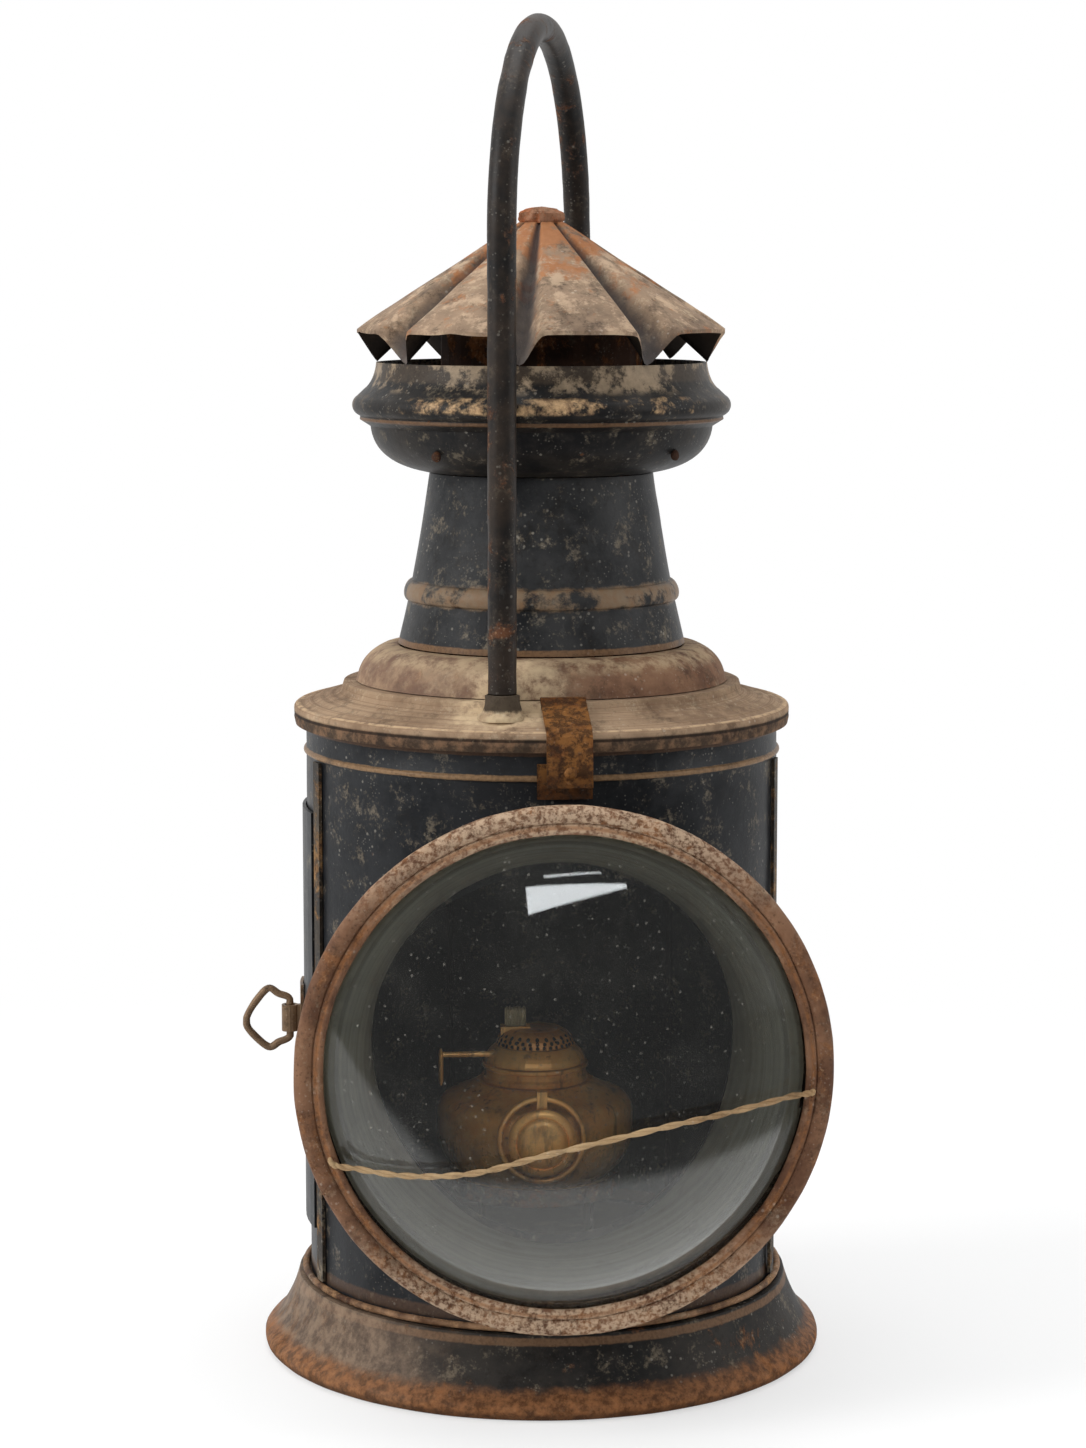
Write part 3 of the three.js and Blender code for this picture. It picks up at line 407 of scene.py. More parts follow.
# %% Worn painted metal
def worn(name, coat, cloud, rust=0.3, dust=0.4, scuff=0.3, edge=None, rough=0.55, extra=None, seed=0.0,
         rust_tone=RUST, metallic=0.0, grime=0.5, shine=0.10, lines=()):
    """Painted or bare metal, with more or less of each kind of wear."""
    f = Finish(name)
    clouds = f.noise(34, 6, 0.62, shift=seed).ramp(0.40, 0.64)
    fine = f.noise(5.5, 6, 0.7, shift=seed + 0.3)
    grit = f.noise(1.1, 3, 0.6, shift=seed)
    blotch = f.noise(15, 8, 0.72, shift=seed + 0.7, twist=0.4)
    dark = (f.noise(8, 7, 0.75, shift=seed + 5.2) + (grit - 0.5) * 0.3).ramp(0.50, 0.66) * grime
    rusty = (blotch + fine * 0.25).ramp(0.84 - 0.34 * rust, 0.94 - 0.30 * rust)
    if edge is not None:
        ragged = edge(f) + (blotch - 0.5) * 1.1 + (fine - 0.5) * 0.6
        rusty = rusty.most(ragged.ramp(0.40, 0.70))
    rust_colour = f.coats(DARK_RUST, (fine.ramp(0.34, 0.62), rust_tone),
                          (grit.ramp(0.52, 0.70) * 0.55, PALE_RUST))
    scratch = f.noise(2.6, 4, 0.7, stretch=(1, 1, 0.35), shift=seed).ramp(0.62, 0.70)
    film = (f.noise(9, 7, 0.75, shift=seed + 1.1) + (grit - 0.5) * 0.35).ramp(0.54, 0.70)
    speck = f.specks(2.6, 0.22, seed) * f.noise(12, 3, 0.6, shift=seed + 2).ramp(0.52, 0.60)
    small = f.specks(1.2, 0.26, seed + 0.4) * f.noise(7, 3, 0.6, shift=seed + 3).ramp(0.50, 0.62)
    white = (speck * 0.8 + small * 0.55).least(1.0) * (0.3 + 0.7 * dust)
    colour = f.coats(coat, (clouds * 0.7, cloud), (fine.ramp(0.42, 0.66) * 0.45, cloud), (dark, SOOT),
                     (rusty * 0.9, rust_colour), (scratch * 0.5 * scuff, GREY), (film * 0.6 * dust, CREAM),
                     (white * 0.45, LIME))
    for centre, half, line_colour, amount in lines:
        away = (f.height() - centre).maths("ABSOLUTE") + (fine - 0.5) * half * 0.9
        band = (1 - away.ramp(half * 0.6, half)) * blotch.ramp(0.26, 0.44)
        tint = f.mix(grit.ramp(0.4, 0.65) * 0.4, line_colour, DARK_RUST)
        colour = f.mix(band * amount, colour, tint)
    roughness = (rusty * 0.28 + film * 0.16 * dust + fine * 0.22 + (rough - 0.12)).least(0.97)
    bump = rusty * 0.5 + grit * 0.06 + fine * 0.35 + white * 0.25
    if extra is not None:
        colour, roughness, bump = extra(f, colour, roughness, bump)
    return f.surface(colour, roughness, metallic, bump, 0.5, Specular_IOR_Level=shine)


print("worn metal ready")

# %% [markdown]
# The base is a flared skirt on a rolled rim. Rust has crept up from the ground, and higher on the
# left than on the right, so its finish asks for a mask of its own. The bead where the case meets
# the skirt is a separate ring, and it is the rustiest line on the lantern.

# %% Finish of the base
def skirt_layers(f, colour, roughness, bump):
    """Taupe dust on the left of the skirt, and a rusty roll all the way round."""
    left = (0 - f.axis("X") - 22 + (f.noise(16, shift=6.1) - 0.5) * 40).ramp(0, 40)
    taupe = f.mix(f.noise(5, shift=4.4).ramp(0.35, 0.65), tone(92, 76, 64), tone(142, 120, 100))
    roll = 1 - (f.height() + (f.noise(6, shift=1.5) - 0.5) * 5).ramp(6.0, 9.5)
    brown = f.mix(f.noise(3, shift=2.5).ramp(0.35, 0.65), tone(84, 54, 32), tone(146, 98, 62))
    foot = 1 - f.height().ramp(1.6, 3.2)
    colour = f.coats(colour, (left * 0.72, taupe), (roll * 0.8, brown), (foot * 0.55, tone(52, 36, 26)))
    return colour, roughness, bump


def skirt_rust(f):
    """Rust along the foot of the skirt that climbs higher on its left."""
    low = 1 - ((f.height() - 1) / 9).held()
    left = (0 - f.axis("X") - 30).ramp(0, 45) * (1 - f.axis("Y").ramp(-20, 30) * 0.3)
    return (low * 0.75).most(left * 0.42)


base_finish = worn("rusted_base", tone(26, 26, 26), tone(52, 48, 44), rust=0.40, dust=0.32, seed=0.9,
                   edge=skirt_rust, grime=0.6, rust_tone=tone(132, 90, 60),
                   lines=((20.6, 1.4, tone(120, 92, 68), 0.7),), extra=skirt_layers)
bead_finish = worn("bead_rust", DARK_RUST, PALE_RUST, rust=0.7, dust=0.6, seed=0.5,
                   rust_tone=tone(150, 116, 84))

# %% Base
BASE_R, ROLL = 85, 2.8
ROLL_X = BASE_R - ROLL
SKIRT_TOP, SKIRT_TOP_R = node_mm("base_skirt")[1].z, 74.3
spin("base_skirt_spun", [
    *bend((ROLL_X + 1.4, 5.25), (77.6, 9.6), (SKIRT_TOP_R, SKIRT_TOP), 14),
    (63, SKIRT_TOP), (63, SKIRT_TOP - 1),
    *bend((73.3, SKIRT_TOP - 1), (76.4, 9.4), (ROLL_X - 1.2, 5.3), 8),
    *arc(ROLL_X, ROLL, ROLL - 0.05, 115, 420, 18)[1:-1],
], "base_skirt", base_finish, depth=0.5, size=26, seed=0.4)
low, high = node_mm("foot_bead")
FOOT_BEAD_R, FOOT_BEAD_Z, FOOT_BEAD_ROD = 72.2, (low.z + high.z) / 2, 1.05
spin("foot_bead_ring", arc(FOOT_BEAD_R, FOOT_BEAD_Z, FOOT_BEAD_ROD, 0, 345, 11), "foot_bead",
     bead_finish, depth=0.25, size=9, smooth=180)
keep(base_finish, "base_plate")

# %% [markdown]
# The case is a tube of sheet with a round lens opening in front and a door opening on the left. A
# Boolean modifier with the exact solver cuts both from a finely turned tube, and is then applied.
# Its upper bead is pressed out of the same sheet. Its floor, guides and seam strips keep their
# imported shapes.

# %% Finish of the case
case_finish = worn("case_paint", tone(19, 21, 24), tone(43, 44, 46), rust=0.10, dust=0.32, scuff=0.4,
                   seed=0.1, rough=0.42, grime=0.3, shine=0.12,
                   lines=((183.2, 1.0, tone(152, 120, 86), 0.7), (190.2, 0.9, tone(96, 70, 50), 0.6),
                          (26.5, 2.2, tone(104, 76, 54), 0.35)))
strip_finish = worn("seam_edge", tone(30, 29, 28), tone(70, 60, 48), rust=0.62, dust=0.4, seed=4.4,
                    rough=0.5, rust_tone=tone(138, 104, 66))
print("case finishes ready")

# %% Case shell
CASE_R, SHEET = 70.8, 1.0
LENS_Z, THROAT_R = 104, 52.6
low, high = node_mm("case_shell")
CASE_LOW, CASE_TOP = low.z, high.z
UPPER_BEAD_Z, UPPER_BEAD_R = 183, 0.9


def combine(operation, piece, *tools):
    """Joins tools to a piece or cuts them out of it for good, and removes the tools."""
    for tool in tools:
        change = piece.modifiers.new("change", "BOOLEAN")
        change.operation = operation
        change.solver = "EXACT"
        change.object = tool
    graph = bpy.context.evaluated_depsgraph_get()
    done = bpy.data.meshes.new_from_object(piece.evaluated_get(graph))
    piece.modifiers.clear()
    piece.data = done
    for tool in tools:
        bpy.data.objects.remove(tool)


def upright(azimuth, radius, z):
    """A point in metres at an azimuth in degrees, where 0 is the front and 90 the right side."""
    a = math.radians(azimuth)
    return (radius * math.sin(a) * MM, -radius * math.cos(a) * MM, z * MM)


def band_mesh(inner, outer, start, end, low_z, high_z, columns=40):
    """A curved plate that follows the case between two azimuths, closed all round."""
    vertices, faces = [], []
    for column in range(columns + 1):
        azimuth = start + (end - start) * column / columns
        vertices += [upright(azimuth, r, z) for z in (low_z, high_z) for r in (inner, outer)]
    for column in range(columns):
        a, b = 4 * column, 4 * column + 4
        faces += [(a, a + 2, b + 2, b), (a + 1, b + 1, b + 3, a + 3),
                  (a, b, b + 1, a + 1), (a + 2, a + 3, b + 3, b + 2)]
    last = 4 * columns
    return vertices, faces + [(0, 1, 3, 2), (last, last + 2, last + 3, last + 1)]


def forward_disc(radius, near, far, sides=160):
    """A round plug that runs forward from the axis through the lens opening."""
    ring = [(radius * math.cos(2 * math.pi * i / sides), radius * math.sin(2 * math.pi * i / sides))
            for i in range(sides)]
    vertices = [(x * MM, -s * MM, (LENS_Z + z) * MM) for s in (near, far) for x, z in ring]
    faces = [tuple(range(sides)), tuple(range(2 * sides - 1, sides - 1, -1))]
    faces += [(i, i + sides, (i + 1) % sides + sides, (i + 1) % sides) for i in range(sides)]
    return vertices, faces


DOOR_START, DOOR_END = -75, -139
DOOR_LOW, DOOR_HIGH, DOOR_LAP = 40, 166, 5
shell = raw_piece("case_shell_rolled", *turned([
    (CASE_R - SHEET, CASE_LOW), (CASE_R, CASE_LOW), (CASE_R, UPPER_BEAD_Z - 1.2),
    *[(r - 0.05, z) for r, z in arc(CASE_R, UPPER_BEAD_Z, UPPER_BEAD_R, -75, 75, 8)],
    (CASE_R, UPPER_BEAD_Z + 1.2), (CASE_R, CASE_TOP), (CASE_R - SHEET, CASE_TOP)],
    sides=200, depth=0.55, size=30, seed=0.2, step=6))
throat = raw_piece("throat", *forward_disc(THROAT_R, 20, 90))
door_hole = raw_piece("door_hole", *band_mesh(
    CASE_R - 6, CASE_R + 6, DOOR_END + DOOR_LAP, DOOR_START - DOOR_LAP,
    DOOR_LOW + DOOR_LAP, DOOR_HIGH - DOOR_LAP))
combine("DIFFERENCE", shell, throat, door_hole)
dress(shell, "case_shell", case_finish)
keep(case_finish, "case_floor", "left_inner_guide", "right_inner_guide")
keep(strip_finish, "left_seam_strip", "right_seam_strip")

# %% [markdown]
# The hood leaves the case along its curve and flares like a bell to the lens rim. Each spoke of the
# mesh starts where its own line meets the cylinder of the case, so no Boolean is needed. Outside it
# is black like the case. Inside it keeps a grey-green paint with rings from the spinning lathe, painted
# paler toward the mouth and darker at the throat as painted light and shade.

# %% Lens hood
HOOD_FRONT = -node_mm("lens_hood")[0].y
MOUTH_R, HOOD_SHEET = 67.4, 1.2
# Each knot is a distance in front of the axis, and how much wider than the throat the hood is there.
HOOD_KNOTS = [(30, 0), (56, 0.6), (70, 2.6), (80, 6.8), (HOOD_FRONT, MOUTH_R - THROAT_R)]


def hood_inside(s):
    """Inner radius of the hood at a distance in front of the axis of the case."""
    for (s0, g0), (s1, g1) in zip(HOOD_KNOTS, HOOD_KNOTS[1:]):
        if s <= s1:
            i = HOOD_KNOTS.index((s0, g0))
            before = HOOD_KNOTS[max(i - 1, 0)]
            after = HOOD_KNOTS[min(i + 2, len(HOOD_KNOTS) - 1)]
            m0 = (g1 - before[1]) / (s1 - before[0]) * (s1 - s0)
            m1 = (after[1] - g0) / (after[0] - s0) * (s1 - s0)
            t = (s - s0) / (s1 - s0)
            return (THROAT_R + (2 * t ** 3 - 3 * t * t + 1) * g0 + (t ** 3 - 2 * t * t + t) * m0
                    + (3 * t * t - 2 * t ** 3) * g1 + (t ** 3 - t * t) * m1)
    return MOUTH_R


def hood_mesh(sides=180, steps=26):
    """The bell as spokes round the lens axis, each from the case's cylinder out to the rim and back."""
    vertices = []
    clear = CASE_R + 0.35
    for side in range(sides):
        a = 2 * math.pi * side / sides
        start = 45.0
        for _ in range(12):
            start = math.sqrt(max(clear ** 2 - ((hood_inside(start) + HOOD_SHEET) * math.cos(a)) ** 2, 1))
        rows = [start + (HOOD_FRONT - start) * i / steps for i in range(steps + 1)]
        loop = [(hood_inside(s), s) for s in rows]
        loop += [(MOUTH_R + HOOD_SHEET * 0.5, HOOD_FRONT)]
        loop += arc(MOUTH_R + HOOD_SHEET, HOOD_FRONT - 0.9, 0.88, 80, -80, 6)
        loop += [(hood_inside(s) + HOOD_SHEET, s) for s in reversed(rows[:-2])]
        for r, s in loop:
            r += dent((r * math.cos(a), s, r * math.sin(a)), 0.4, 24, 1.7)
            vertices.append((r * math.cos(a) * MM, -s * MM, (LENS_Z + r * math.sin(a)) * MM))
    return vertices, lattice(sides, len(loop))


def hood_layers(f, colour, roughness, bump):
    """Grey-green paint on the inside of the bell, told from the outside by how the sheet faces, with painted
    light toward the mouth and painted shade at the throat.
    """
    x, z = f.axis("X"), f.height() - LENS_Z
    reach = reach_of(x, z)
    inside = (0 - (f.faces("X") * x + f.faces("Z") * z)).ramp(0.5, 6)
    rings = f.rings(reach * 0.22, 5)
    streak = f.noise(7, shift=8.1)
    # Paler toward the mouth and darker at the throat: painted light and shade inside the bell.
    grey_green_lit_and_shaded = f.coats(tone(146, 143, 128), (rings.ramp(0.34, 0.66) * 0.5, tone(186, 182, 166)),
                         (reach.ramp(60, 66) * 0.5, tone(196, 192, 174)),
                         (reach.around(63.4, 0.3, 0.9) * 0.6, tone(86, 80, 66)),
                         (streak.ramp(0.5, 0.75) * 0.35, tone(92, 84, 68)),
                         ((1 - reach.ramp(51, 54)) * 0.25, tone(72, 68, 58)))
    roughness = roughness * (1 - inside * 0.35)
    bump = bump * (1 - inside * 0.8) + inside * (rings * 0.2 + streak * 0.1)
    return f.mix(inside * 0.94, colour, grey_green_lit_and_shaded), roughness, bump


hood_finish = worn("hood_paint", tone(22, 22, 23), tone(50, 46, 43), rust=0.2, dust=0.4, seed=5.3,
                   extra=hood_layers)
dress(raw_piece("lens_hood_spun", *hood_mesh()), "lens_hood", hood_finish, 50)

# %% [markdown]
# The rim is a fat outer roll and a thin inner bead, with a plain sleeve that slips over the hood.
# Wind and hands have scoured it paler toward the top and the foot, and dirt fills the groove
# between its two rolls. It is turned about the lens axis, which `forward` arranges: what was height
# becomes distance in front of the case.

# %% Rim
def forward(point):
    """Turns a piece that was spun about +Z so that it faces forward, around the lens axis."""
    x, y, z = point
    return (x, -z, y + LENS_Z * MM)


def bezel_layers(f, colour, roughness, bump):
    """Paler, scoured metal toward the top and the foot of the rim, and dirt in its groove."""
    z = f.height() - LENS_Z
    scour = f.noise(1.7, 4, 0.7, shift=4.1).ramp(0.38, 0.6)
    groove = reach_of(f.axis("X"), z).around(69.3, 0.2, 0.9) * scour.most(0.3)
    pits = f.specks(1.2, 0.34, 2.2) * f.noise(6, 3, 0.6, shift=6).ramp(0.42, 0.6)
    colour = f.coats(colour, (z.maths("ABSOLUTE").ramp(38, 72) * scour * 0.75, tone(188, 164, 138)),
                     (groove * 0.6, tone(146, 98, 60)), (pits * 0.35, tone(52, 36, 26)))
    return colour, roughness, bump - pits * 0.4


bezel_finish = worn("bezel_rust", tone(84, 57, 42), tone(132, 98, 74), rust=0.6, dust=0.25, seed=0.2,
                    rough=0.62, rust_tone=tone(124, 84, 56), grime=0.35, extra=bezel_layers)
BEZEL_R = node_mm("lens_bezel")[1].x
low, high = node_mm("lens_glass")
GLASS_R, GLASS_FRONT = high.x, -low.y
GLASS_THICK, DOME_BASE, DOME_RISE = 2.5, 66.9, 15
DOME_CURVE = (DOME_BASE ** 2 + DOME_RISE ** 2) / (2 * DOME_RISE)
ROLL_R = 2.7
THIN_BEAD = 1.1
THIN_BEAD_X = DOME_BASE + 1.5


def dome_drop(radius):
    """How far the glass has fallen back from its peak at a radius."""
    return DOME_CURVE - math.sqrt(DOME_CURVE ** 2 - radius ** 2)


BEAD_S = GLASS_FRONT - dome_drop(THIN_BEAD_X - THIN_BEAD) + 0.3 + THIN_BEAD
ROLL_S = BEAD_S - 1.4
SLEEVE_R, SLEEVE_BACK = GLASS_R + 0.35, HOOD_FRONT - 2.3
spin("lens_bezel_rolled", [
    (SLEEVE_R, SLEEVE_BACK), (GLASS_R + 1.4, SLEEVE_BACK), (GLASS_R + 1.4, ROLL_S - 2.0),
    *arc(BEZEL_R - ROLL_R, ROLL_S, ROLL_R - 0.04, -140, 150, 18),
    (70.2, BEAD_S + 0.5),
    *arc(THIN_BEAD_X, BEAD_S, THIN_BEAD - 0.03, 30, 260, 9),
    (SLEEVE_R, BEAD_S - 0.55),
], "lens_bezel", bezel_finish, move=forward, depth=0.35, size=16, seed=2.6, sides=220, step=2)

# %% [markdown]
# The glass is a shallow dome like a large watch glass. Real refraction would hide the lamp in a few
# samples' worth of noise, so the finish mixes a clear shader with a mirror by how steeply the
# surface is seen, and adds a film of haze, smears and spots.

# %% Glass
def glass_finish():
    """Clear glass that mirrors at a slant, under a thin film of dirt that is paler low down, where it is
    partly a painted reflection of the floor.
    """
    f = Finish("lens_glass")
    haze = f.noise(20, 5, 0.6).ramp(0.45, 0.75)
    smear = f.noise(6, stretch=(1, 1, 0.4), shift=2).ramp(0.55, 0.8)
    spots = f.specks(3.2, 0.16) * 0.8
    # Toward the foot of the glass the film is partly dust and partly a painted reflection of the pale floor.
    low_film_and_reflection = 1 - (f.height() - LENS_Z).ramp(-66, -8)
    dirt = (haze * 0.02 + smear * 0.03 + spots * 0.22 + low_film_and_reflection * 0.05 + 0.004).least(0.5)
    film = f.node("ShaderNodeBsdfDiffuse", {}, {"Color": tone(176, 172, 162)})
    clear = f.node("ShaderNodeBsdfTransparent", {}, {"Color": (0.97, 0.98, 0.97, 1)})
    gloss = f.node("ShaderNodeBsdfGlossy", {}, {"Roughness": 0.03, "Color": (0.9, 0.9, 0.9, 1)})
    steep = f.node("ShaderNodeFresnel", {}, {"IOR": 1.5})
    return f.show(f.blend(steep, f.blend(dirt, clear, film), gloss))


rings = [GLASS_R * i / 24 for i in range(25)]
spin("lens_glass_dome", [(r, GLASS_FRONT - GLASS_THICK - dome_drop(r)) for r in rings]
     + [(r, GLASS_FRONT - dome_drop(r)) for r in reversed(rings)],
     "lens_glass", glass_finish(), move=forward, sides=160, step=8, smooth=30)

# %% [markdown]
# The retaining wire crosses the glass in a lazy curve. It lies on the dome, so each point of its
# path takes its depth from the glass below it. Two strands twist round each other, rusty and thin.

# %% Rods and curves
def tube_mesh(path, radius, sides=10, closed=False):
    """A round rod along a list of points in millimetres, with a radius or one radius per point."""
    count = len(path)
    points = [Vector(p) for p in path]
    radii = radius if isinstance(radius, list) else [radius] * count
    vertices, faces = [], []
    across = None
    for i, point in enumerate(points):
        if closed:
            ahead = points[(i + 1) % count] - points[i - 1]
        else:
            ahead = points[min(i + 1, count - 1)] - points[max(i - 1, 0)]
        ahead.normalize()
        if across is None:
            across = ahead.orthogonal().normalized()
        across = (across - ahead * across.dot(ahead)).normalized()
        over = ahead.cross(across)
        for k in range(sides):
            turn = 2 * math.pi * k / sides
            side = across * math.cos(turn) + over * math.sin(turn)
            vertices.append(tuple((point + side * radii[i]) * MM))
    for i in range(count if closed else count - 1):
        here, there = i * sides, ((i + 1) % count) * sides
        faces += [(here + k, here + (k + 1) % sides, there + (k + 1) % sides, there + k)
                  for k in range(sides)]
    if not closed:
        faces += [tuple(reversed(range(sides))), tuple(range((count - 1) * sides, count * sides))]
    return vertices, faces


def joined(*parts):
    """Several meshes as one list of vertices and faces."""
    vertices, faces = [], []
    for part_vertices, part_faces in parts:
        start = len(vertices)
        vertices += part_vertices
        faces += [tuple(start + i for i in face) for face in part_faces]
    return vertices, faces


def smooth_path(knots, per_span, closed=False):
    """A Catmull-Rom curve through points of any dimension."""
    count = len(knots)
    points = []
    for i in range(count if closed else count - 1):
        near = [i + k if closed else min(max(i + k, 0), count - 1) for k in (-1, 0, 1, 2)]
        corners = list(zip(*(knots[k % count] for k in near)))
        for step in range(per_span):
            t = step / per_span
            points.append(tuple(0.5 * (2 * b + (c - a) * t + (2 * a - 5 * b + 4 * c - d) * t * t
                                       + (3 * b - a - 3 * c + d) * t ** 3) for a, b, c, d in corners))
    return points if closed else points + [tuple(knots[-1])]


print("rods and curves ready")

# %% Retaining wire
WIRE_R, STRAND_R, STRAND_APART = 1.15, 0.56, 0.42
# Knots of the wire as seen from the front, measured from the middle of the lens.
WIRE_KNOTS = [(-65.6, -22.6), (-62.4, -24.6), (-45, -26.4), (-26, -24.8), (-5, -19), (22, -13.2),
              (44, -9.7), (65.5, -6.4), (69.2, -5.6)]
END_DEPTH, TWIST = BEAD_S + THIN_BEAD + 0.3 + WIRE_R, 0.7


def wire_point(x, z):
    """A point of the wire's middle line, just clear of the glass, or of the thin bead at its ends."""
    reach = math.hypot(x, z)
    on_glass = GLASS_FRONT - dome_drop(min(reach, DOME_BASE)) + WIRE_R + 0.6
    return Vector((x, -max(on_glass, END_DEPTH if reach > 64 else 0), LENS_Z + z))


core = [wire_point(x, z) for x, z in smooth_path(WIRE_KNOTS, 14)]
strands = []
for strand in (0, 1):
    path = []
    for i, point in enumerate(core):
        turn = i * TWIST + strand * math.pi
        path.append(point + Vector((0, math.cos(turn), math.sin(turn))) * STRAND_APART)
    strands.append(tube_mesh(path, STRAND_R, 9))
wire_finish = worn("wire_steel", tone(142, 114, 82), tone(178, 152, 116), rust=0.35, dust=0.2, seed=6.1,
                   rust_tone=tone(140, 100, 64), rough=0.6, grime=0.35)
new_piece("retaining_wire_twisted", *joined(*strands), "retaining_wire", wire_finish, 60)

# %% [markdown]
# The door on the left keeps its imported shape: a plate that laps over its opening, hung on a loose-pin
# hinge. Its catch is a flat clip that holds a pull ring of worn brass.

# %% Door and its brass
brass_finish = worn("door_brass", tone(84, 66, 52), tone(132, 108, 84), rust=0.42, dust=0.2, seed=7.7,
                    rust_tone=tone(104, 66, 44), rough=0.45, metallic=0.2, grime=0.6)
keep(case_finish, "side_door", "door_hinge_leaf")
keep(bead_finish, "door_hinge_pin")
keep(brass_finish, "ring_clip")

# %% [markdown]
# The pull ring is a rod bent to a rounded D that hangs from the clip. The wear makes it uneven, so
# its thickness wanders a little along the way.

# %% Pull ring
RING_AZIMUTH, RING_Z = -92, 100
RING_H, RING_W, RING_WIRE = 20.5, 13.2, 1.2
PLATE_OUT, CLIP_REACH, LEG = 1.3, 4.4, 5.65
RING_FROM = CASE_R + PLATE_OUT + CLIP_REACH
half = RING_H / 2 - RING_WIRE
ring_loop = [(0, -LEG), (0, 0), (0, LEG), (RING_W * 0.26, half * 0.82), (RING_W * 0.49, half),
             (RING_W * 0.76, half * 0.6), (RING_W * 0.97, half * 0.1), (RING_W, -half * 0.22),
             (RING_W * 0.86, -half * 0.55), (RING_W * 0.5, -half), (RING_W * 0.26, -half * 0.84)]
ring_path = []
for out, up in smooth_path(ring_loop, 7, closed=True):
    spot = upright(RING_AZIMUTH, RING_FROM + min(max(out, 0), RING_W), RING_Z + up)
    ring_path.append(Vector(spot) / MM)
ring_radii = [RING_WIRE - 0.03 + dent(p, 0.22, 3.5, 0.6) for p in ring_path]
ring_mesh = tube_mesh(ring_path, ring_radii, 14, closed=True)
new_piece("door_ring_worn", *ring_mesh, "door_ring", brass_finish, 180)

# %% [markdown]
# The lamp inside stands on a tray. Everything turns about the lamp's own upright axis, which lies
# two millimetres to the left of the case's. The brass is dark above and still warm in places below,
# there partly worn bright and partly a painted highlight, and the tray has a crust of old oil and
# rust along its edge.

# %% Lamp's axis, brass and tray
LAMP_X = -2


def at_lamp(point):
    """Moves a piece that was spun about the case's axis to the lamp's own."""
    return (point[0] + LAMP_X * MM, point[1], point[2])


def lamp_layers(f, colour, roughness, bump):
    """A brighter belly low on the font, partly worn brass and partly a painted highlight, and dark oil
    streaks that run down.
    """
    # The brighter belly is partly worn brass and partly a painted highlight low on the font.
    belly = (1 - f.height().ramp(56, 70)) * f.noise(12, shift=2.4).ramp(0.4, 0.62)
    drips = f.noise(4, 4, 0.6, stretch=(1, 1, 0.15), shift=9.1).ramp(0.56, 0.7)
    colour = f.coats(colour, (belly * 0.6, tone(226, 186, 126)), (drips * 0.5, tone(58, 44, 32)))
    return colour, roughness - belly * 0.12, bump


lamp_finish = worn("lamp_brass", tone(232, 160, 88), tone(248, 196, 124), rust=0.3, dust=0.15, seed=8.4,
                   rust_tone=tone(110, 70, 40), rough=0.32, metallic=0.45, extra=lamp_layers, grime=0.3,
                   shine=0.5)
tray_finish = worn("tray_iron", tone(60, 48, 40), tone(120, 100, 82), rust=0.7, dust=0.6, seed=9.2,
                   rough=0.8)
low, high = node_mm("lamp_tray")
tray_r = high.x - LAMP_X
spin("lamp_tray_crusted", [
    (0, low.z), (tray_r - 0.3, low.z), (tray_r, low.z + 0.4), (tray_r, high.z - 0.3),
    (tray_r - 0.5, high.z), (tray_r - 1, high.z - 0.3), (tray_r - 1, low.z + 1.2), (0, low.z + 1.2)],
    "lamp_tray", tray_finish, move=at_lamp, depth=0.5, size=5, seed=1.2, step=1.2, sides=120)
keep(case_finish, "tray_bracket")

# %% [markdown]
# The font is the brass vessel that holds the oil. A short neck for the filler and an ear for the
# ring are joined to its turned body, and the hole through the ear is cut, all by Booleans. The
# filler's cap is turned on its own and screws onto the neck.

# %% Font and ring
FONT_LOW, FONT_R, FOOT_R, COLLAR_R = node_mm("font")[0].z, 29.8, 20.8, 16.2
FONT_TOP = node_mm("burner_collar")[0].z - 0.3
FILLER_Z, FILLER_R, NECK_FRONT = 68.5, 10.3, 31.4
font_outline = [(0, FONT_LOW), (FOOT_R, FONT_LOW), (FOOT_R + 1.4, FONT_LOW + 1),
                *bend((FOOT_R + 1.8, FONT_LOW + 3.6), (FONT_R - 1, FONT_LOW + 8.4),
                      (FONT_R, FONT_LOW + 16), 12),
                (FONT_R, FONT_TOP - 9.6),
                *bend((FONT_R - 0.2, FONT_TOP - 8), (FONT_R - 1, FONT_TOP - 4.6),
                      (FONT_R - 4.6, FONT_TOP - 4.0), 6),
                (COLLAR_R + 2.4, FONT_TOP - 0.7), (COLLAR_R + 1.6, FONT_TOP), (0, FONT_TOP)]
neck = [(0, FONT_R - 8), (FILLER_R - 1.7, FONT_R - 8), (FILLER_R - 1.7, NECK_FRONT - 0.4),
        (FILLER_R - 2.1, NECK_FRONT), (0, NECK_FRONT)]


def toward_front(point):
    """Turns a piece spun about +Z so that it points forward on the filler's axis."""
    x, y, z = point
    return (x + LAMP_X * MM, -z, y + FILLER_Z * MM)


RING_LOOP = FILLER_R + 1.3 + 0.95
LUG_FRONT = NECK_FRONT - 2
ear_box = [(LAMP_X + sx * 1.5, -LUG_FRONT + sy * 2.0, FILLER_Z + RING_LOOP - 1.2 + sz * 3.6)
           for sx in (-1, 1) for sy in (-1, 1) for sz in (-1, 1)]
ear = ([tuple(v * MM for v in corner) for corner in ear_box],
       [(0, 1, 3, 2), (4, 6, 7, 5), (0, 4, 5, 1), (2, 3, 7, 6), (0, 2, 6, 4), (1, 5, 7, 3)])


def moved(mesh, move):
    """A mesh with each of its points moved."""
    vertices, faces = mesh
    return [move(v) for v in vertices], faces


def hoop(wire, steps=90):
    """A round wire ring about the filler's axis, upright and facing forward."""
    path = [Vector((LAMP_X + RING_LOOP * math.cos(2 * math.pi * i / steps), -LUG_FRONT,
                    FILLER_Z + RING_LOOP * math.sin(2 * math.pi * i / steps))) for i in range(steps)]
    return tube_mesh(path, wire, 12, closed=True)


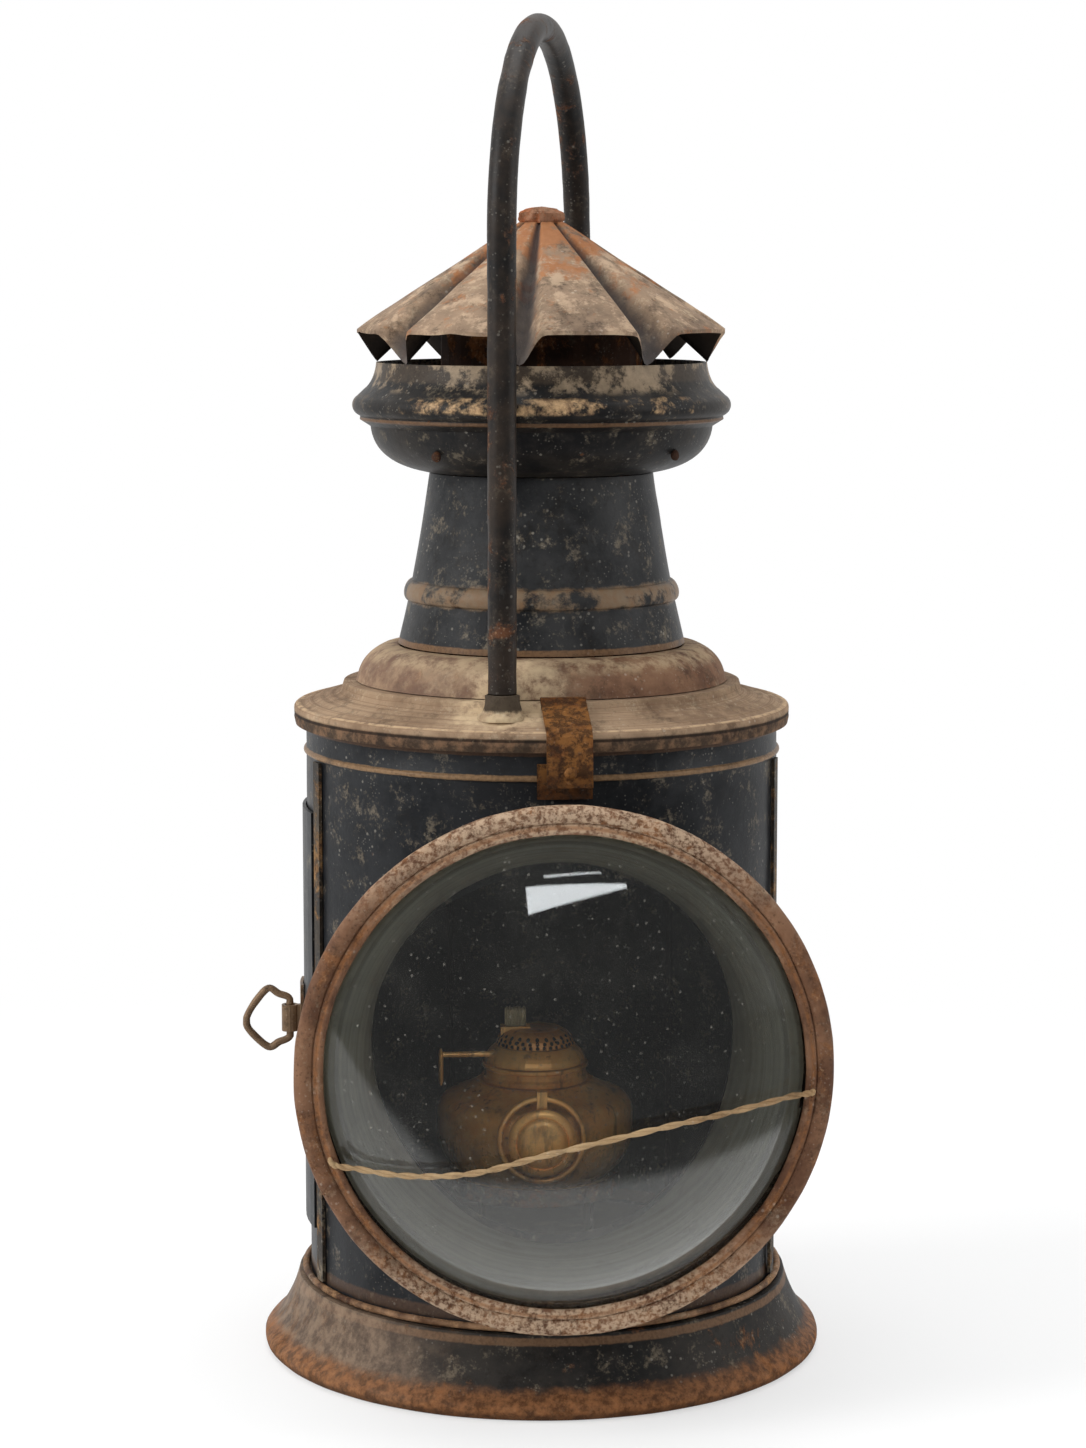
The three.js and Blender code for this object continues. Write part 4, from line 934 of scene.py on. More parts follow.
font_body = raw_piece("font_spun", *moved(turned(font_outline, 140, 0.35, 18, 2.1, 2.5), at_lamp))
combine("UNION", font_body, raw_piece("neck", *moved(turned(neck, 60, step=8), toward_front)),
        raw_piece("ear", *ear))
combine("DIFFERENCE", font_body, raw_piece("ear_hole", *hoop(1.35)))
dress(font_body, "font", lamp_finish)
new_piece("font_ring_wire", *hoop(0.93), "font_ring", lamp_finish, 180)

# %% Filler cap
CAP_BACK = NECK_FRONT + 0.3
spin("filler_cap_turned", [
    (0, CAP_BACK), (FILLER_R - 0.6, CAP_BACK), (FILLER_R - 0.05, CAP_BACK + 0.5),
    (FILLER_R - 0.05, CAP_BACK + 1.7), (FILLER_R - 0.6, CAP_BACK + 2.3), (FILLER_R - 1.5, CAP_BACK + 2.6),
    (FILLER_R - 2.2, CAP_BACK + 2.7), (FILLER_R - 2.5, CAP_BACK + 2.35), (FILLER_R - 3.0, CAP_BACK + 2.9),
    *bend((FILLER_R - 4, CAP_BACK + 3.5), (3, CAP_BACK + 4.0), (0, CAP_BACK + 4), 6)],
    "filler_cap", lamp_finish, move=toward_front, sides=90, step=1.5, depth=0.12, size=6, seed=4)

# %% [markdown]
# The burner has a plain collar, a curved body and a cap with three rows of air holes. Body and cap
# keep their imported shapes, and the cap's finish paints soot, and dark holes as painted shade over
# the real ones and between them.

# %% Burner
low, high = node_mm("burner_collar")
spin("burner_collar_ring", [
    (COLLAR_R - 4.6, low.z), (COLLAR_R - 0.1, low.z), (COLLAR_R, low.z + 0.3), (COLLAR_R, low.z + 1.3),
    (COLLAR_R - 0.7, low.z + 2), (COLLAR_R - 0.7, high.z - 1.6), (COLLAR_R, high.z - 1),
    (COLLAR_R, high.z - 0.2), (COLLAR_R - 0.2, high.z), (COLLAR_R - 4.6, high.z)],
    "burner_collar", lamp_finish, move=at_lamp, sides=110, step=2)
low, high = node_mm("burner_cap")
CAP_R, CAP_LOW, CAP_RISE = high.x - LAMP_X, low.z, high.z - low.z
HOLE_ROWS = ((0.12, 36), (0.36, 32), (0.6, 24))  # how far up the cap, and the number of holes


def cap_layers(f, colour, roughness, bump):
    """The lamp's brass with dark air holes painted over it, row by row, as painted shade that widens the real
    holes and adds more between them.
    """
    turn = (f.axis("X") - LAMP_X).maths("ARCTAN2", 0 - f.axis("Y")) / (2 * math.pi)
    colour, roughness, bump = lamp_layers(f, colour, roughness, bump)
    for share, count in HOLE_ROWS:
        middle = CAP_R - 4.4 * share ** 2.4
        along = ((turn * count + 100.5).maths("FRACT") - 0.5) * (2 * math.pi * middle / count)
        rise = f.height() - (CAP_LOW + CAP_RISE * share * 0.98)
        # Each dark disc is painted shade of a hole, some over the real holes and the rest between them.
        colour = f.mix(1 - reach_of(along, rise).ramp(0.50, 0.70), colour, tone(12, 9, 7))
    return colour, roughness, bump


cap_finish = worn("cap_brass", tone(190, 128, 70), tone(224, 168, 104), rust=0.3, dust=0.1, seed=8.9,
                  rust_tone=tone(110, 70, 40), rough=0.34, metallic=0.4, extra=cap_layers, grime=0.3,
                  shine=0.5)
keep(cap_finish, "burner_cap")
keep(lamp_finish, "burner_body", "wick_tube", "wick_winder")

# %% [markdown]
# The wick is woven cotton with a frayed, darkened edge. A grid of points makes both of its faces, and
# each thread puffs them out a little. Two crossed wave textures draw the weave itself.

# %% Wick
def wick_finish():
    """Cotton of two crossed weaves, browned and charred toward its top."""
    f = Finish("wick_cotton")
    weave = f.node("ShaderNodeTexWave", {"wave_type": "BANDS", "bands_direction": "X"},
                   {"Vector": f.place, "Scale": 900, "Distortion": 1.5}, "Fac")
    across = f.node("ShaderNodeTexWave", {"wave_type": "BANDS", "bands_direction": "Z"},
                    {"Vector": f.place, "Scale": 700, "Distortion": 1.5}, "Fac")
    cloth = f.mix(weave * across * 0.7, tone(166, 150, 118), tone(104, 90, 66))
    char = f.height().ramp(101.4, 103.2) * f.noise(1.4, 4, 0.6).ramp(0.3, 0.6)
    colour = f.mix(char * 0.85, cloth, tone(70, 58, 44))
    return f.surface(colour, 0.92, 0.0, weave + across, 0.25)


def strip_mesh(low, high, columns=28, rows=36):
    """A flat strip that fills a box, with two puffed faces and a frayed top edge."""
    vertices, faces = [], []
    for row in range(rows + 1):
        for column in range(columns + 1):
            x = low.x + (high.x - low.x) * column / columns
            fray = wander(x * 2.3, 0.4, 7.1) * 1.6 + wander(x * 6.1, 2.2, 1.1) * 0.5
            z = low.z + (high.z - low.z - (fray if row else 0)) * row / rows
            puff = 0.14 * math.sin(column * math.pi / 2)
            for side in (-1, 1):
                half = (high.y - low.y) / 2 - 0.14 + puff * side
                vertices.append((x * MM, (low.y + high.y) / 2 * MM + side * half * MM, z * MM))
    wide = 2 * (columns + 1)
    for row in range(rows):
        for i in range(row * wide, row * wide + 2 * columns, 2):
            faces += [(i, i + 2, i + wide + 2, i + wide), (i + 1, i + wide + 1, i + wide + 3, i + 3)]
        left, right = row * wide, row * wide + 2 * columns
        faces += [(left, left + wide, left + wide + 1, left + 1),
                  (right, right + 1, right + wide + 1, right + wide)]
    top = rows * wide
    for i in range(0, 2 * columns, 2):
        faces += [(i, i + 1, i + 3, i + 2), (top + i, top + i + 2, top + i + 3, top + i + 1)]
    return vertices, faces


new_piece("wick_woven", *strip_mesh(*node_mm("wick")), "wick", wick_finish(), 60)

# %% [markdown]
# The top is a stack of turned pieces. The flange has faint rings pressed by the lathe and a rolled
# lip over the case. The dome above it swells like a bell and carries the tapered chimney.

# %% Finish of the flange
low, high = node_mm("top_flange")
FLANGE_R, LIP_LOW, STEP_Z = high.x, low.z, high.z
LIP_HIGH = LIP_LOW + 6


def solder_smear(f):
    """Where cream solder has crept over the sheet beside the front foot of the handle."""
    away = reach_of((f.axis("X") + 14) * 0.75, f.axis("Y") + 57)
    return 1 - (away + (f.noise(7, shift=3.3) - 0.5) * 16).ramp(8, 14)


def lid_layers(f, colour, roughness, bump):
    """The pressed flange: beige above, brown in its grooves, and a dark lip with a pale edge and a line of
    painted shade under its roll.
    """
    side, z = f.radius(), f.height()
    lip = 1 - z.ramp(LIP_HIGH - 2.6, LIP_HIGH - 1.6)
    ragged = f.noise(4, shift=1.9)
    brown = f.mix(ragged.ramp(0.40, 0.66), tone(38, 29, 24), tone(106, 80, 60))
    # The thin dark line under the lip's rolled edge is painted shade of a groove that the sheet does not
    # have.
    seam = z.around(LIP_HIGH - 2.7, 0.25, 0.6)
    groove = f.rings(side * 0.42, 3).ramp(0.50, 0.66) * 0.45 * (1 - lip)
    edge = side.around(FLANGE_R - 1.3, 0.4, 1.0) * (1 - lip)
    colour = f.coats(colour, (lip * 0.88, brown), (seam * 0.8, tone(28, 22, 19)), (groove, tone(112, 82, 62)),
                     (solder_smear(f) * ragged.ramp(0.3, 0.55) * 0.75, SOLDER),
                     (edge * ragged.ramp(0.4, 0.55) * 0.7, tone(196, 168, 134)))
    return colour, roughness, bump


lid_finish = worn("lid_steel", tone(122, 100, 80), tone(164, 140, 114), rust=0.26, dust=0.55, seed=2.2,
                  rough=0.78, rust_tone=tone(134, 92, 64), grime=0.40, extra=lid_layers)
print("flange finish ready")

# %% Flange
STEP_R, BELL_R, LIP_ROUND, INNER_R = 59.4, 55.8, 1.4, 69.1
slope = [(FLANGE_R - LIP_ROUND, LIP_HIGH - 0.05), (STEP_R + 0.9, STEP_Z - 2.9)]
RIPPLES, RIPPLE_STEPS = 4, 32
ridged = []
for i in range(RIPPLE_STEPS + 1):
    t = i / RIPPLE_STEPS
    ripple = 0.22 * math.cos(t * math.pi * 2 * RIPPLES) - 0.26
    r, z = (a + (b - a) * t for a, b in zip(*slope))
    ridged.append((r, z + (ripple if 0 < i < RIPPLE_STEPS else -0.04)))
spin("top_flange_pressed", [
    (INNER_R - 3.4, LIP_LOW), (FLANGE_R - 0.45, LIP_LOW + 0.02),
    *arc(FLANGE_R - LIP_ROUND, LIP_LOW + LIP_ROUND + 0.6, LIP_ROUND - 0.05, -20, 20, 4),
    *arc(FLANGE_R - LIP_ROUND, LIP_HIGH - LIP_ROUND, LIP_ROUND - 0.05, 0, 88, 7),
    *ridged[1:], (STEP_R, STEP_Z - 0.1), (STEP_R - 0.3, STEP_Z), (BELL_R - 4, STEP_Z),
    (BELL_R - 4, STEP_Z - 1), (STEP_R - 1, STEP_Z - 1), (STEP_R - 0.2, STEP_Z - 3.9),
    (FLANGE_R - LIP_ROUND - 2, LIP_HIGH - 1.7), (INNER_R - 2.4, LIP_LOW + 1.4)],
    "top_flange", lid_finish, depth=0.25, size=20, seed=5.9, sides=220, step=2)

# %% Dome
low, high = node_mm("dome")
DOME_LOW, DOME_TOP, DOME_TOP_R = low.z, high.z, 43


def dome_layers(f, colour, roughness, bump):
    """Bare grey soot on the left half, warm rust and cream on the right, as rain left them."""
    side = (f.axis("X") + (f.noise(22, 4, 0.6, shift=4) - 0.5) * 50).ramp(-26, 18)
    soot = f.mix(f.noise(8, shift=3).ramp(0.4, 0.65), tone(122, 100, 86), tone(170, 146, 120))
    patchy = f.noise(4, shift=1.9).ramp(0.3, 0.55)
    cream = f.height().ramp(DOME_LOW + 5.5, DOME_LOW + 8.5) * f.noise(5, shift=5.2).ramp(0.35, 0.6)
    colour = f.coats(colour, ((1 - side) * 0.55, soot), (solder_smear(f) * patchy * 0.75, SOLDER),
                     (cream * 0.6, tone(186, 164, 132)))
    return colour, roughness, bump


dome_finish = worn("dome_steel", tone(88, 62, 48), tone(136, 104, 80), rust=0.45, dust=0.45, seed=6.6,
                   rough=0.72, rust_tone=tone(132, 90, 66), extra=dome_layers, grime=0.45)
dome_outer = [(BELL_R, DOME_LOW),
              *bend((BELL_R - 0.5, DOME_LOW + 0.7), (BELL_R - 1.4, DOME_TOP - 3.4),
                    (DOME_TOP_R + 4.6, DOME_TOP - 0.5), 12), (DOME_TOP_R + 0.6, DOME_TOP)]
dome_inner = [(r - 1, z - 0.4) for r, z in reversed(dome_outer)]
dome_inner[-1] = (BELL_R - 1.8, DOME_LOW)
spin("dome_spun", dome_outer + dome_inner, "dome", dome_finish, depth=0.25, size=15, seed=2.9)

# %% [markdown]
# The chimney narrows upward, with one rolled bead that has lost its black paint. Inside it runs the
# flue, and round its mouth sits the bowl of the cowl, whose fat bead shows bare beige metal where
# hands and rain have worn it; on its front the bare patches are partly a painted highlight.

# %% Chimney and flue
low, high = node_mm("chimney")
CHIMNEY_LOW, CHIMNEY_TOP, CHIMNEY_TOP_R = low.z, high.z, 33.5
CHIMNEY_BEAD_Z, CHIMNEY_BEAD_R = 230.6, 1.8


def chimney_at(z):
    """Radius of the chimney's slightly bellied wall at a height."""
    t = (z - CHIMNEY_LOW) / (CHIMNEY_TOP - CHIMNEY_LOW)
    return DOME_TOP_R + (CHIMNEY_TOP_R - DOME_TOP_R) * (t + 0.275 * t * (1 - t))


def band_wear(centre, half, bare, grain, start=0.46, front=False):
    """Bare metal on a bead, told by height, so that the paint survives in its hollows. With front, the
    patches gather on the front, where they are partly a painted highlight.
    """
    def layers(f, colour, roughness, bump):
        away = (f.height() - centre).maths("ABSOLUTE") + (f.noise(7, shift=1.3) - 0.5) * grain
        worn_off = 1 - away.ramp(half * 0.72, half * 1.12)
        patch = f.noise(16, 6, 0.7, shift=6.3).ramp(start, start + 0.12)
        if front:
            # On the front the bare patches are partly a painted highlight on the upper side of the bead.
            patch = patch * ((0 - f.axis("Y")).ramp(26, 46) * 0.9 + 0.12)
            above = (f.height() - (centre + 2.5)).ramp(0, 2.5)
            above = above * f.noise(12, 7, 0.72, shift=9.9).ramp(0.47, 0.57)
            dusty = f.mix(f.noise(3, 4, 0.7, shift=4.2), tone(96, 82, 66), tone(184, 162, 134))
            colour = f.mix(above * 0.75, colour, dusty)
        metal = f.mix(f.noise(3, 4, 0.7, shift=2.2).ramp(0.35, 0.7), bare, tone(122, 96, 72))
        colour = f.mix(worn_off * patch * 0.9, colour, metal)
        return colour, roughness, bump + worn_off * patch * 0.3
    return layers


chimney_finish = worn("chimney_paint", tone(24, 25, 27), tone(56, 56, 56), rust=0.12, dust=0.32,
                      scuff=0.4, seed=4.2, rough=0.45, shine=0.12,
                      lines=((CHIMNEY_LOW + 0.8, 1.2, tone(128, 96, 66), 0.7),),
                      extra=band_wear(CHIMNEY_BEAD_Z, 3.4, tone(124, 106, 86), 4, start=0.39))
heights = [CHIMNEY_LOW + (CHIMNEY_TOP - CHIMNEY_LOW) * i / 22 for i in range(23)]
under = [(chimney_at(z), z) for z in heights if z < CHIMNEY_BEAD_Z - 3.6]
above = [(chimney_at(z), z) for z in heights if z > CHIMNEY_BEAD_Z + 3.6]
roll = []
for i in range(15):
    a = math.radians(-90 + 180 * i / 14)
    z = CHIMNEY_BEAD_Z + 3 * math.sin(a)
    roll.append((chimney_at(z) + CHIMNEY_BEAD_R * math.cos(a) - 0.02, z))
spin("chimney_rolled", under + roll + above + [(r - 1, z) for r, z in reversed(above)]
     + [(r - 1, z) for r, z in reversed(under)], "chimney", chimney_finish, depth=0.4, size=20, seed=8.8)
flue_finish = worn("flue_rust", tone(40, 28, 22), tone(70, 46, 34), rust=0.6, dust=0.1, seed=1.9, rough=0.8)
keep(flue_finish, "flue_tube")

# %% Cowl
low, high = node_mm("cowl")
COWL_LOW, COWL_R, RIM_Z = low.z, 56.5, high.z
BEAD_HEIGHT, COWL_BEAD_R, RIM_R = 285.6, 3.2, 49.2
FOOT_OF_BOWL = CHIMNEY_TOP_R - 1
bowl = bend((FOOT_OF_BOWL + 1.5, COWL_LOW), (COWL_R - 6.8, COWL_LOW + 2.4),
            (COWL_R - 5.5, BEAD_HEIGHT - 6.2), 16)
rim = bend((COWL_R - 3.6, BEAD_HEIGHT + 4.6), (RIM_R + 0.6, BEAD_HEIGHT + 6.8), (RIM_R, RIM_Z), 8)
cowl_wear_and_highlight = band_wear(BEAD_HEIGHT + 1.2, 2.4, tone(200, 166, 124), 2.4, start=0.49, front=True)
cowl_finish = worn("cowl_paint", tone(22, 22, 23), tone(48, 44, 40), rust=0.20, dust=0.25, scuff=0.4,
                   seed=3.7, rough=0.45, shine=0.12, extra=cowl_wear_and_highlight,
                   lines=((BEAD_HEIGHT - 4.0, 0.7, tone(112, 84, 60), 0.7),
                          (RIM_Z - 2.5, 3.2, tone(104, 88, 70), 0.25)))
spin("cowl_spun", [
    (FOOT_OF_BOWL, COWL_LOW), *bowl, (COWL_R - 2.3, BEAD_HEIGHT - 4.2), (COWL_R - 2.4, BEAD_HEIGHT - 3.2),
    *arc(COWL_R - COWL_BEAD_R, BEAD_HEIGHT, COWL_BEAD_R - 0.04, -60, 60, 10),
    *rim, (RIM_R - 1, RIM_Z), (RIM_R - 1, BEAD_HEIGHT + 6.4), (COWL_R - 5.4, BEAD_HEIGHT + 2),
    (COWL_R - 5.4, BEAD_HEIGHT - 4), *[(r - 1, z + 0.8) for r, z in reversed(bowl[1:])],
    (FOOT_OF_BOWL, COWL_LOW + 1)], "cowl", cowl_finish, depth=0.22, size=14, seed=7.1, sides=200, step=2)

# %% Rivets
def rivet(node, finish):
    """A hammered head that fills the box of its packed rivet."""
    low, high = node_mm(node)
    middle = (low + high) / 2
    out = Vector((middle.x, middle.y, 0)).normalized()
    side, up = Vector((-out.y, out.x, 0)), Vector((0, 0, 1))
    reach = max((v.co / MM - middle).dot(out) for v in NODES[node].data.vertices) - 0.02
    wide = (high.z - low.z) / 2 - 0.02
    vertices, faces = [], []
    steps, sides = 8, 20
    for ring in range(steps + 1):
        a = -math.pi / 2 + math.pi * ring / steps
        for k in range(sides):
            turn = 2 * math.pi * k / sides
            across = wide * math.cos(a) * (1 - 0.05 * math.sin(3 * turn + 1))
            edge = (side * math.cos(turn) + up * math.sin(turn)) * across
            vertices.append(tuple((middle + out * reach * math.sin(a) + edge) * MM))
    for ring in range(steps):
        for k in range(sides):
            a, b = ring * sides + k, ring * sides + (k + 1) % sides
            faces.append((a, b, b + sides, a + sides))
    dress(raw_piece(node + "_head", vertices, faces), node, finish, 60)


for number in range(1, 5):
    rivet(f"cowl_rivet_{number}", flue_finish)

# %% [markdown]
# The roof is eight flat-topped flutes with narrow troughs between them. One formula gives the height
# of the crown across a flute, and the sheet falls from the apex to the eaves along each spoke. A
# few eaves are nibbled by rust, and the troughs are darkened with painted shade.

# %% Fluted roof
low, high = node_mm("roof")
FLUTES, FIRST_VALLEY = 8, -11.4
APEX_Z, EAVES_R, EAVES_Z, ROOF_SHEET = high.z - 0.02, 55, 308.5, 1.1
VALLEY_Z, VALLEY_R = RIM_Z + 0.3 + ROOF_SHEET, RIM_R + 0.4
PEAK_Z, HUB = 343.6, 0.12


def crown(t):
    """Height across one flute: 0 in the trough, 1 over the flat of the arch."""
    x = min(max((abs(2 * t - 1) - 0.62) / 0.38, 0), 1)
    return 1 - x * x * (3 - 2 * x)


PER_FLUTE, RINGS = 30, 26
roof_vertices, roof_faces = [(0, 0, APEX_Z * MM), (0, 0, (APEX_Z - ROOF_SHEET) * MM)], []
spokes = FLUTES * PER_FLUTE
for ring in range(RINGS + 1):
    t = HUB + (1 - HUB) * ring / RINGS
    for spoke in range(spokes):
        azimuth = FIRST_VALLEY + 360 * spoke / spokes
        lift = crown((spoke % PER_FLUTE) / PER_FLUTE)
        arch = lift * (1 + 0.10 * math.sin(math.pi * (spoke % PER_FLUTE) / PER_FLUTE)) / 1.10
        reach = VALLEY_R + (EAVES_R - VALLEY_R) * lift
        drop = VALLEY_Z + (EAVES_Z - VALLEY_Z) * arch
        torn = wander(azimuth * 0.11, 3.1, 0.5) * 1.6 + wander(azimuth * 0.6, 1, 2) * 0.7
        r = reach * t - torn * max(0, (t - 0.96) / 0.04) * 0.6
        z = PEAK_Z + (drop - PEAK_Z) * t
        x, y, _ = upright(azimuth, r, 0)
        sag = wander(x * 60, y * 60, 0.3) * 0.9
        for thick in (0, ROOF_SHEET):
            roof_vertices.append((x, y, (z - thick - sag * t) * MM))


def at(ring, spoke, under):
    """Number of a point of the roof, on its upper face or, with 1, on its underside."""
    return 2 + (ring * spokes + spoke % spokes) * 2 + under


for s in range(spokes):
    roof_faces += [(0, at(0, s, 0), at(0, s + 1, 0)), (1, at(0, s + 1, 1), at(0, s, 1))]
    for ring in range(RINGS):
        roof_faces.append((at(ring, s, 0), at(ring + 1, s, 0), at(ring + 1, s + 1, 0), at(ring, s + 1, 0)))
        roof_faces.append((at(ring, s, 1), at(ring, s + 1, 1), at(ring + 1, s + 1, 1), at(ring + 1, s, 1)))
    roof_faces.append((at(RINGS, s, 0), at(RINGS, s, 1), at(RINGS, s + 1, 1), at(RINGS, s + 1, 0)))
print("roof has", len(roof_faces), "faces")

# %% Finish of the roof
def roof_layers(f, colour, roughness, bump):
    """Painted shade in the troughs between the flutes, orange rust toward the peak, and soot under the sheet.
    """
    turn = f.axis("X").maths("ARCTAN2", 0 - f.axis("Y")) * (FLUTES / (2 * math.pi))
    share = (turn + (100 - FIRST_VALLEY * FLUTES / 360)).maths("FRACT")
    ragged = (f.noise(9, 5, 0.65, shift=5) - 0.5) * 0.22
    # The troughs are darkened with painted shade, beyond what their shape shades.
    trough = (((share - 0.5) * 2).maths("ABSOLUTE") + ragged).ramp(0.70, 0.90)
    near_peak = 1 - f.radius().ramp(10, 40)
    orange = (f.noise(9, 6, 0.7, shift=7.7) + near_peak * 0.2).ramp(0.56, 0.70)
    bright = f.mix(f.noise(2.5, 4, 0.7, shift=1), tone(138, 80, 44), tone(176, 120, 76))
    cream = f.noise(11, 7, 0.72, shift=2.7).ramp(0.50, 0.62) * (1 - orange)
    dark = f.mix(f.noise(6, 4, 0.6, shift=9), tone(48, 49, 54), tone(86, 84, 84))
    under = (0 - f.faces("Z")).ramp(0.0, 0.3)
    colour = f.coats(colour, (orange * 0.75, bright), (cream * 0.6, tone(196, 170, 142)),
                     (trough * 0.82, dark), (under * 0.9, tone(34, 28, 24)))
    return colour, roughness, bump + orange * 0.3


roof_finish = worn("roof_steel", tone(98, 82, 69), tone(156, 132, 109), rust=0.26, dust=0.65, scuff=0.3,
                   seed=7.9, rough=0.72, rust_tone=tone(140, 96, 62), extra=roof_layers, grime=0.5)
new_piece("roof_fluted", roof_vertices, roof_faces, "roof", roof_finish, 50)

# %% Cap of the roof
peak_finish = worn("finial_rust", tone(110, 70, 48), tone(150, 112, 88), rust=0.8, dust=0.3, seed=5.5,
                   rough=0.8, rust_tone=tone(158, 92, 58))
low, high = node_mm("roof_finial")
spin("roof_cap_lumpy", [
    (0, low.z - 0.7), (high.x - 0.8, low.z - 0.7), *arc(high.x - 1.2, low.z + 0.6, 1.2, -60, 10, 5),
    *bend((high.x - 0.1, low.z + 2.2), (high.x - 1.2, high.z - 0.3), (0, high.z), 10)],
    "roof_finial", peak_finish, depth=1.5, size=2.6, seed=3.3, step=0.7, sides=90)

# %% [markdown]
# One rod makes the handle. It rises at the front foot, bends over the roof in a half circle and
# comes down to the back foot. Its black paint has worn to brown steel, and the rod is a little
# uneven, so its radius wanders.

# %% Handle
handle_finish = worn("handle_steel", tone(22, 21, 21), tone(52, 42, 34), rust=0.52, dust=0.08, scuff=0.3,
                     seed=1.4, rough=0.45, rust_tone=tone(92, 58, 38), grime=0.5, shine=0.14)
ROD_R, LEG_R, ARCH_Z, HANDLE_AZIMUTH = 4.2, 61, 334.8, -14.5
leg_low = node_mm("handle")[0].z
straight = [(LEG_R, leg_low + (ARCH_Z - leg_low) * i / 60) for i in range(60)]
over = arc(0, ARCH_Z, LEG_R, 0, 180, 60)
route = straight + over + [(-out, z) for out, z in reversed(straight)]
handle_path = [Vector(upright(HANDLE_AZIMUTH, out, z)) / MM for out, z in route]
handle_radii = [ROD_R - 0.03 + dent(p, 0.28, 9, 2.2) for p in handle_path]
new_piece("handle_rod", *tube_mesh(handle_path, handle_radii, 28), "handle", handle_finish, 60)

# %% [markdown]
# Each end of the rod stands in a flared lump of solder. The lump sits on the sloping flange, and a
# point of it that would fall into the room below the sheet is lifted to the sheet, so nothing shows
# from beneath when the lid is tilted open.

# %% Feet of the handle
def patch_layers(f, colour, roughness, bump):
    """Cream solder below, and the dark paint of the rod that reaches down over its top."""
    bare = f.noise(5, shift=3.9).ramp(0.40, 0.6)
    foot_low = node_mm("handle_foot_front")[0].z
    over = f.height() + (f.noise(3, 4, 0.7, shift=2.8) - 0.5) * 2.4
    colour = f.coats(colour, (bare * 0.7, tone(188, 168, 136)),
                     (over.ramp(foot_low + 2.2, foot_low + 3.2) * 0.9, tone(44, 37, 32)))
    return colour, roughness, bump + bare * 0.4


patch_finish = worn("solder_patch", tone(136, 112, 88), tone(178, 158, 128), rust=0.35, dust=0.6,
                    seed=2.7, rough=0.7, rust_tone=tone(140, 92, 58), extra=patch_layers)


def seated(point, middle):
    """Moves a point of a foot into place, and keeps it out of the room below the flange's sheet."""
    x, y = point[0] + middle.x, point[1] + middle.y
    reach = math.hypot(x, y) / MM
    (outer_r, outer_z), (inner_r, inner_z) = slope
    slant = inner_z + (outer_z - inner_z) * (reach - inner_r) / (outer_r - inner_r)
    sheet = STEP_Z if reach < STEP_R else slant
    return (x, y, max(point[2], (sheet - 0.3) * MM))


for node in ("handle_foot_front", "handle_foot_back"):
    low, high = node_mm(node)
    wide = (high.x - low.x) / 2 - 0.05
    middle = (low + high) / 2 * MM
    spin(node + "_lump", [
        (ROD_R + 0.1, low.z), (wide, low.z), (wide - 0.3, low.z + 0.9),
        *bend((wide - 0.7, low.z + 1.5), (ROD_R + 1.2, low.z + 1.8), (ROD_R + 0.8, high.z - 0.3), 7),
        (ROD_R + 0.1, high.z)], node, patch_finish,
        move=lambda v: seated(v, middle), depth=0.8, size=5, seed=1.6, step=0.8, sides=80)

# %% [markdown]
# The strap that closes the lid hangs over the front lip and catches on its keeper, and a hinge joins
# the lid to the case behind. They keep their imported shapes, because their edges are what shows, and
# only the strap's rivet gets a hammered head. All share one coat of golden and scabby rust.

# %% Strap and hinge
def strap_layers(f, colour, roughness, bump):
    """Golden rust on the upper strap and dark scabs below it."""
    gold = f.height().ramp(176, 188) * f.noise(6, shift=2.9).ramp(0.36, 0.58)
    lower = 1 - f.height().ramp(170, 180)
    scab = f.noise(3.2, 6, 0.75, shift=7.3).ramp(0.46, 0.58)
    colour = f.coats(colour, (gold * 0.6, tone(148, 100, 52)), (lower * 0.5, tone(62, 42, 28)),
                     (scab * 0.75, tone(44, 30, 20)))
    return colour, roughness, bump + scab * 0.5


strap_finish = worn("strap_rust", tone(56, 34, 20), tone(104, 62, 30), rust=0.55, dust=0.06, seed=3.1,
                    rust_tone=tone(122, 78, 46), rough=0.6, grime=0.6, extra=strap_layers)
keep(strap_finish, "front_strap", "strap_keeper", "top_hinge_leaf_case", "top_hinge_leaf_top",
     "top_hinge_pin")
rivet("strap_rivet", strap_finish)

# %% [markdown]
# A white room and soft light complete the photograph. The camera, and rays that glance off or pass
# through the glass, see plain white, while the room's light on the surfaces is much dimmer. The
# front of the room is dark for glancing rays, so that black paint stays black.

# %% White room
room = Finish("room", bpy.data.worlds, "ShaderNodeOutputWorld")
bpy.context.scene.world = room.owner
glancing = room.ray("Glossy")
direction = room.node("ShaderNodeTexCoord", {}, {}, "Generated")
toward_back = room.node("ShaderNodeSeparateXYZ", {}, {0: direction}, "Y")
front = room.node("ShaderNodeMapRange", {}, {"Value": toward_back, "From Min": -0.75, "From Max": -0.15,
                                             "To Min": 0.22})
WHITE = (1, 1, 1, 1)
white = room.node("ShaderNodeBackground", {}, {"Color": WHITE, "Strength": front.most(1 - glancing)})
glow = room.node("ShaderNodeBackground", {}, {"Color": WHITE, "Strength": 0.44})
seen = room.ray("Camera").most(glancing).most(room.ray("Transmission"))
room.show(room.blend(seen, glow, white))
print("white room ready")

# %% [markdown]
# Two large lamps stand left and right and a third hangs overhead. The bright panel and the thin
# streak in the glass are the image of a softbox, so a glowing card with two tapered pieces hangs
# above the camera, where the dome mirrors it.

# %% Lamps and softbox
def aimed(thing, place, target):
    """Stands a lamp or a card in its place and turns its -Z toward a target."""
    thing.location = place
    thing.rotation_euler = (Vector(target) - thing.location).to_track_quat("-Z", "Y").to_euler()


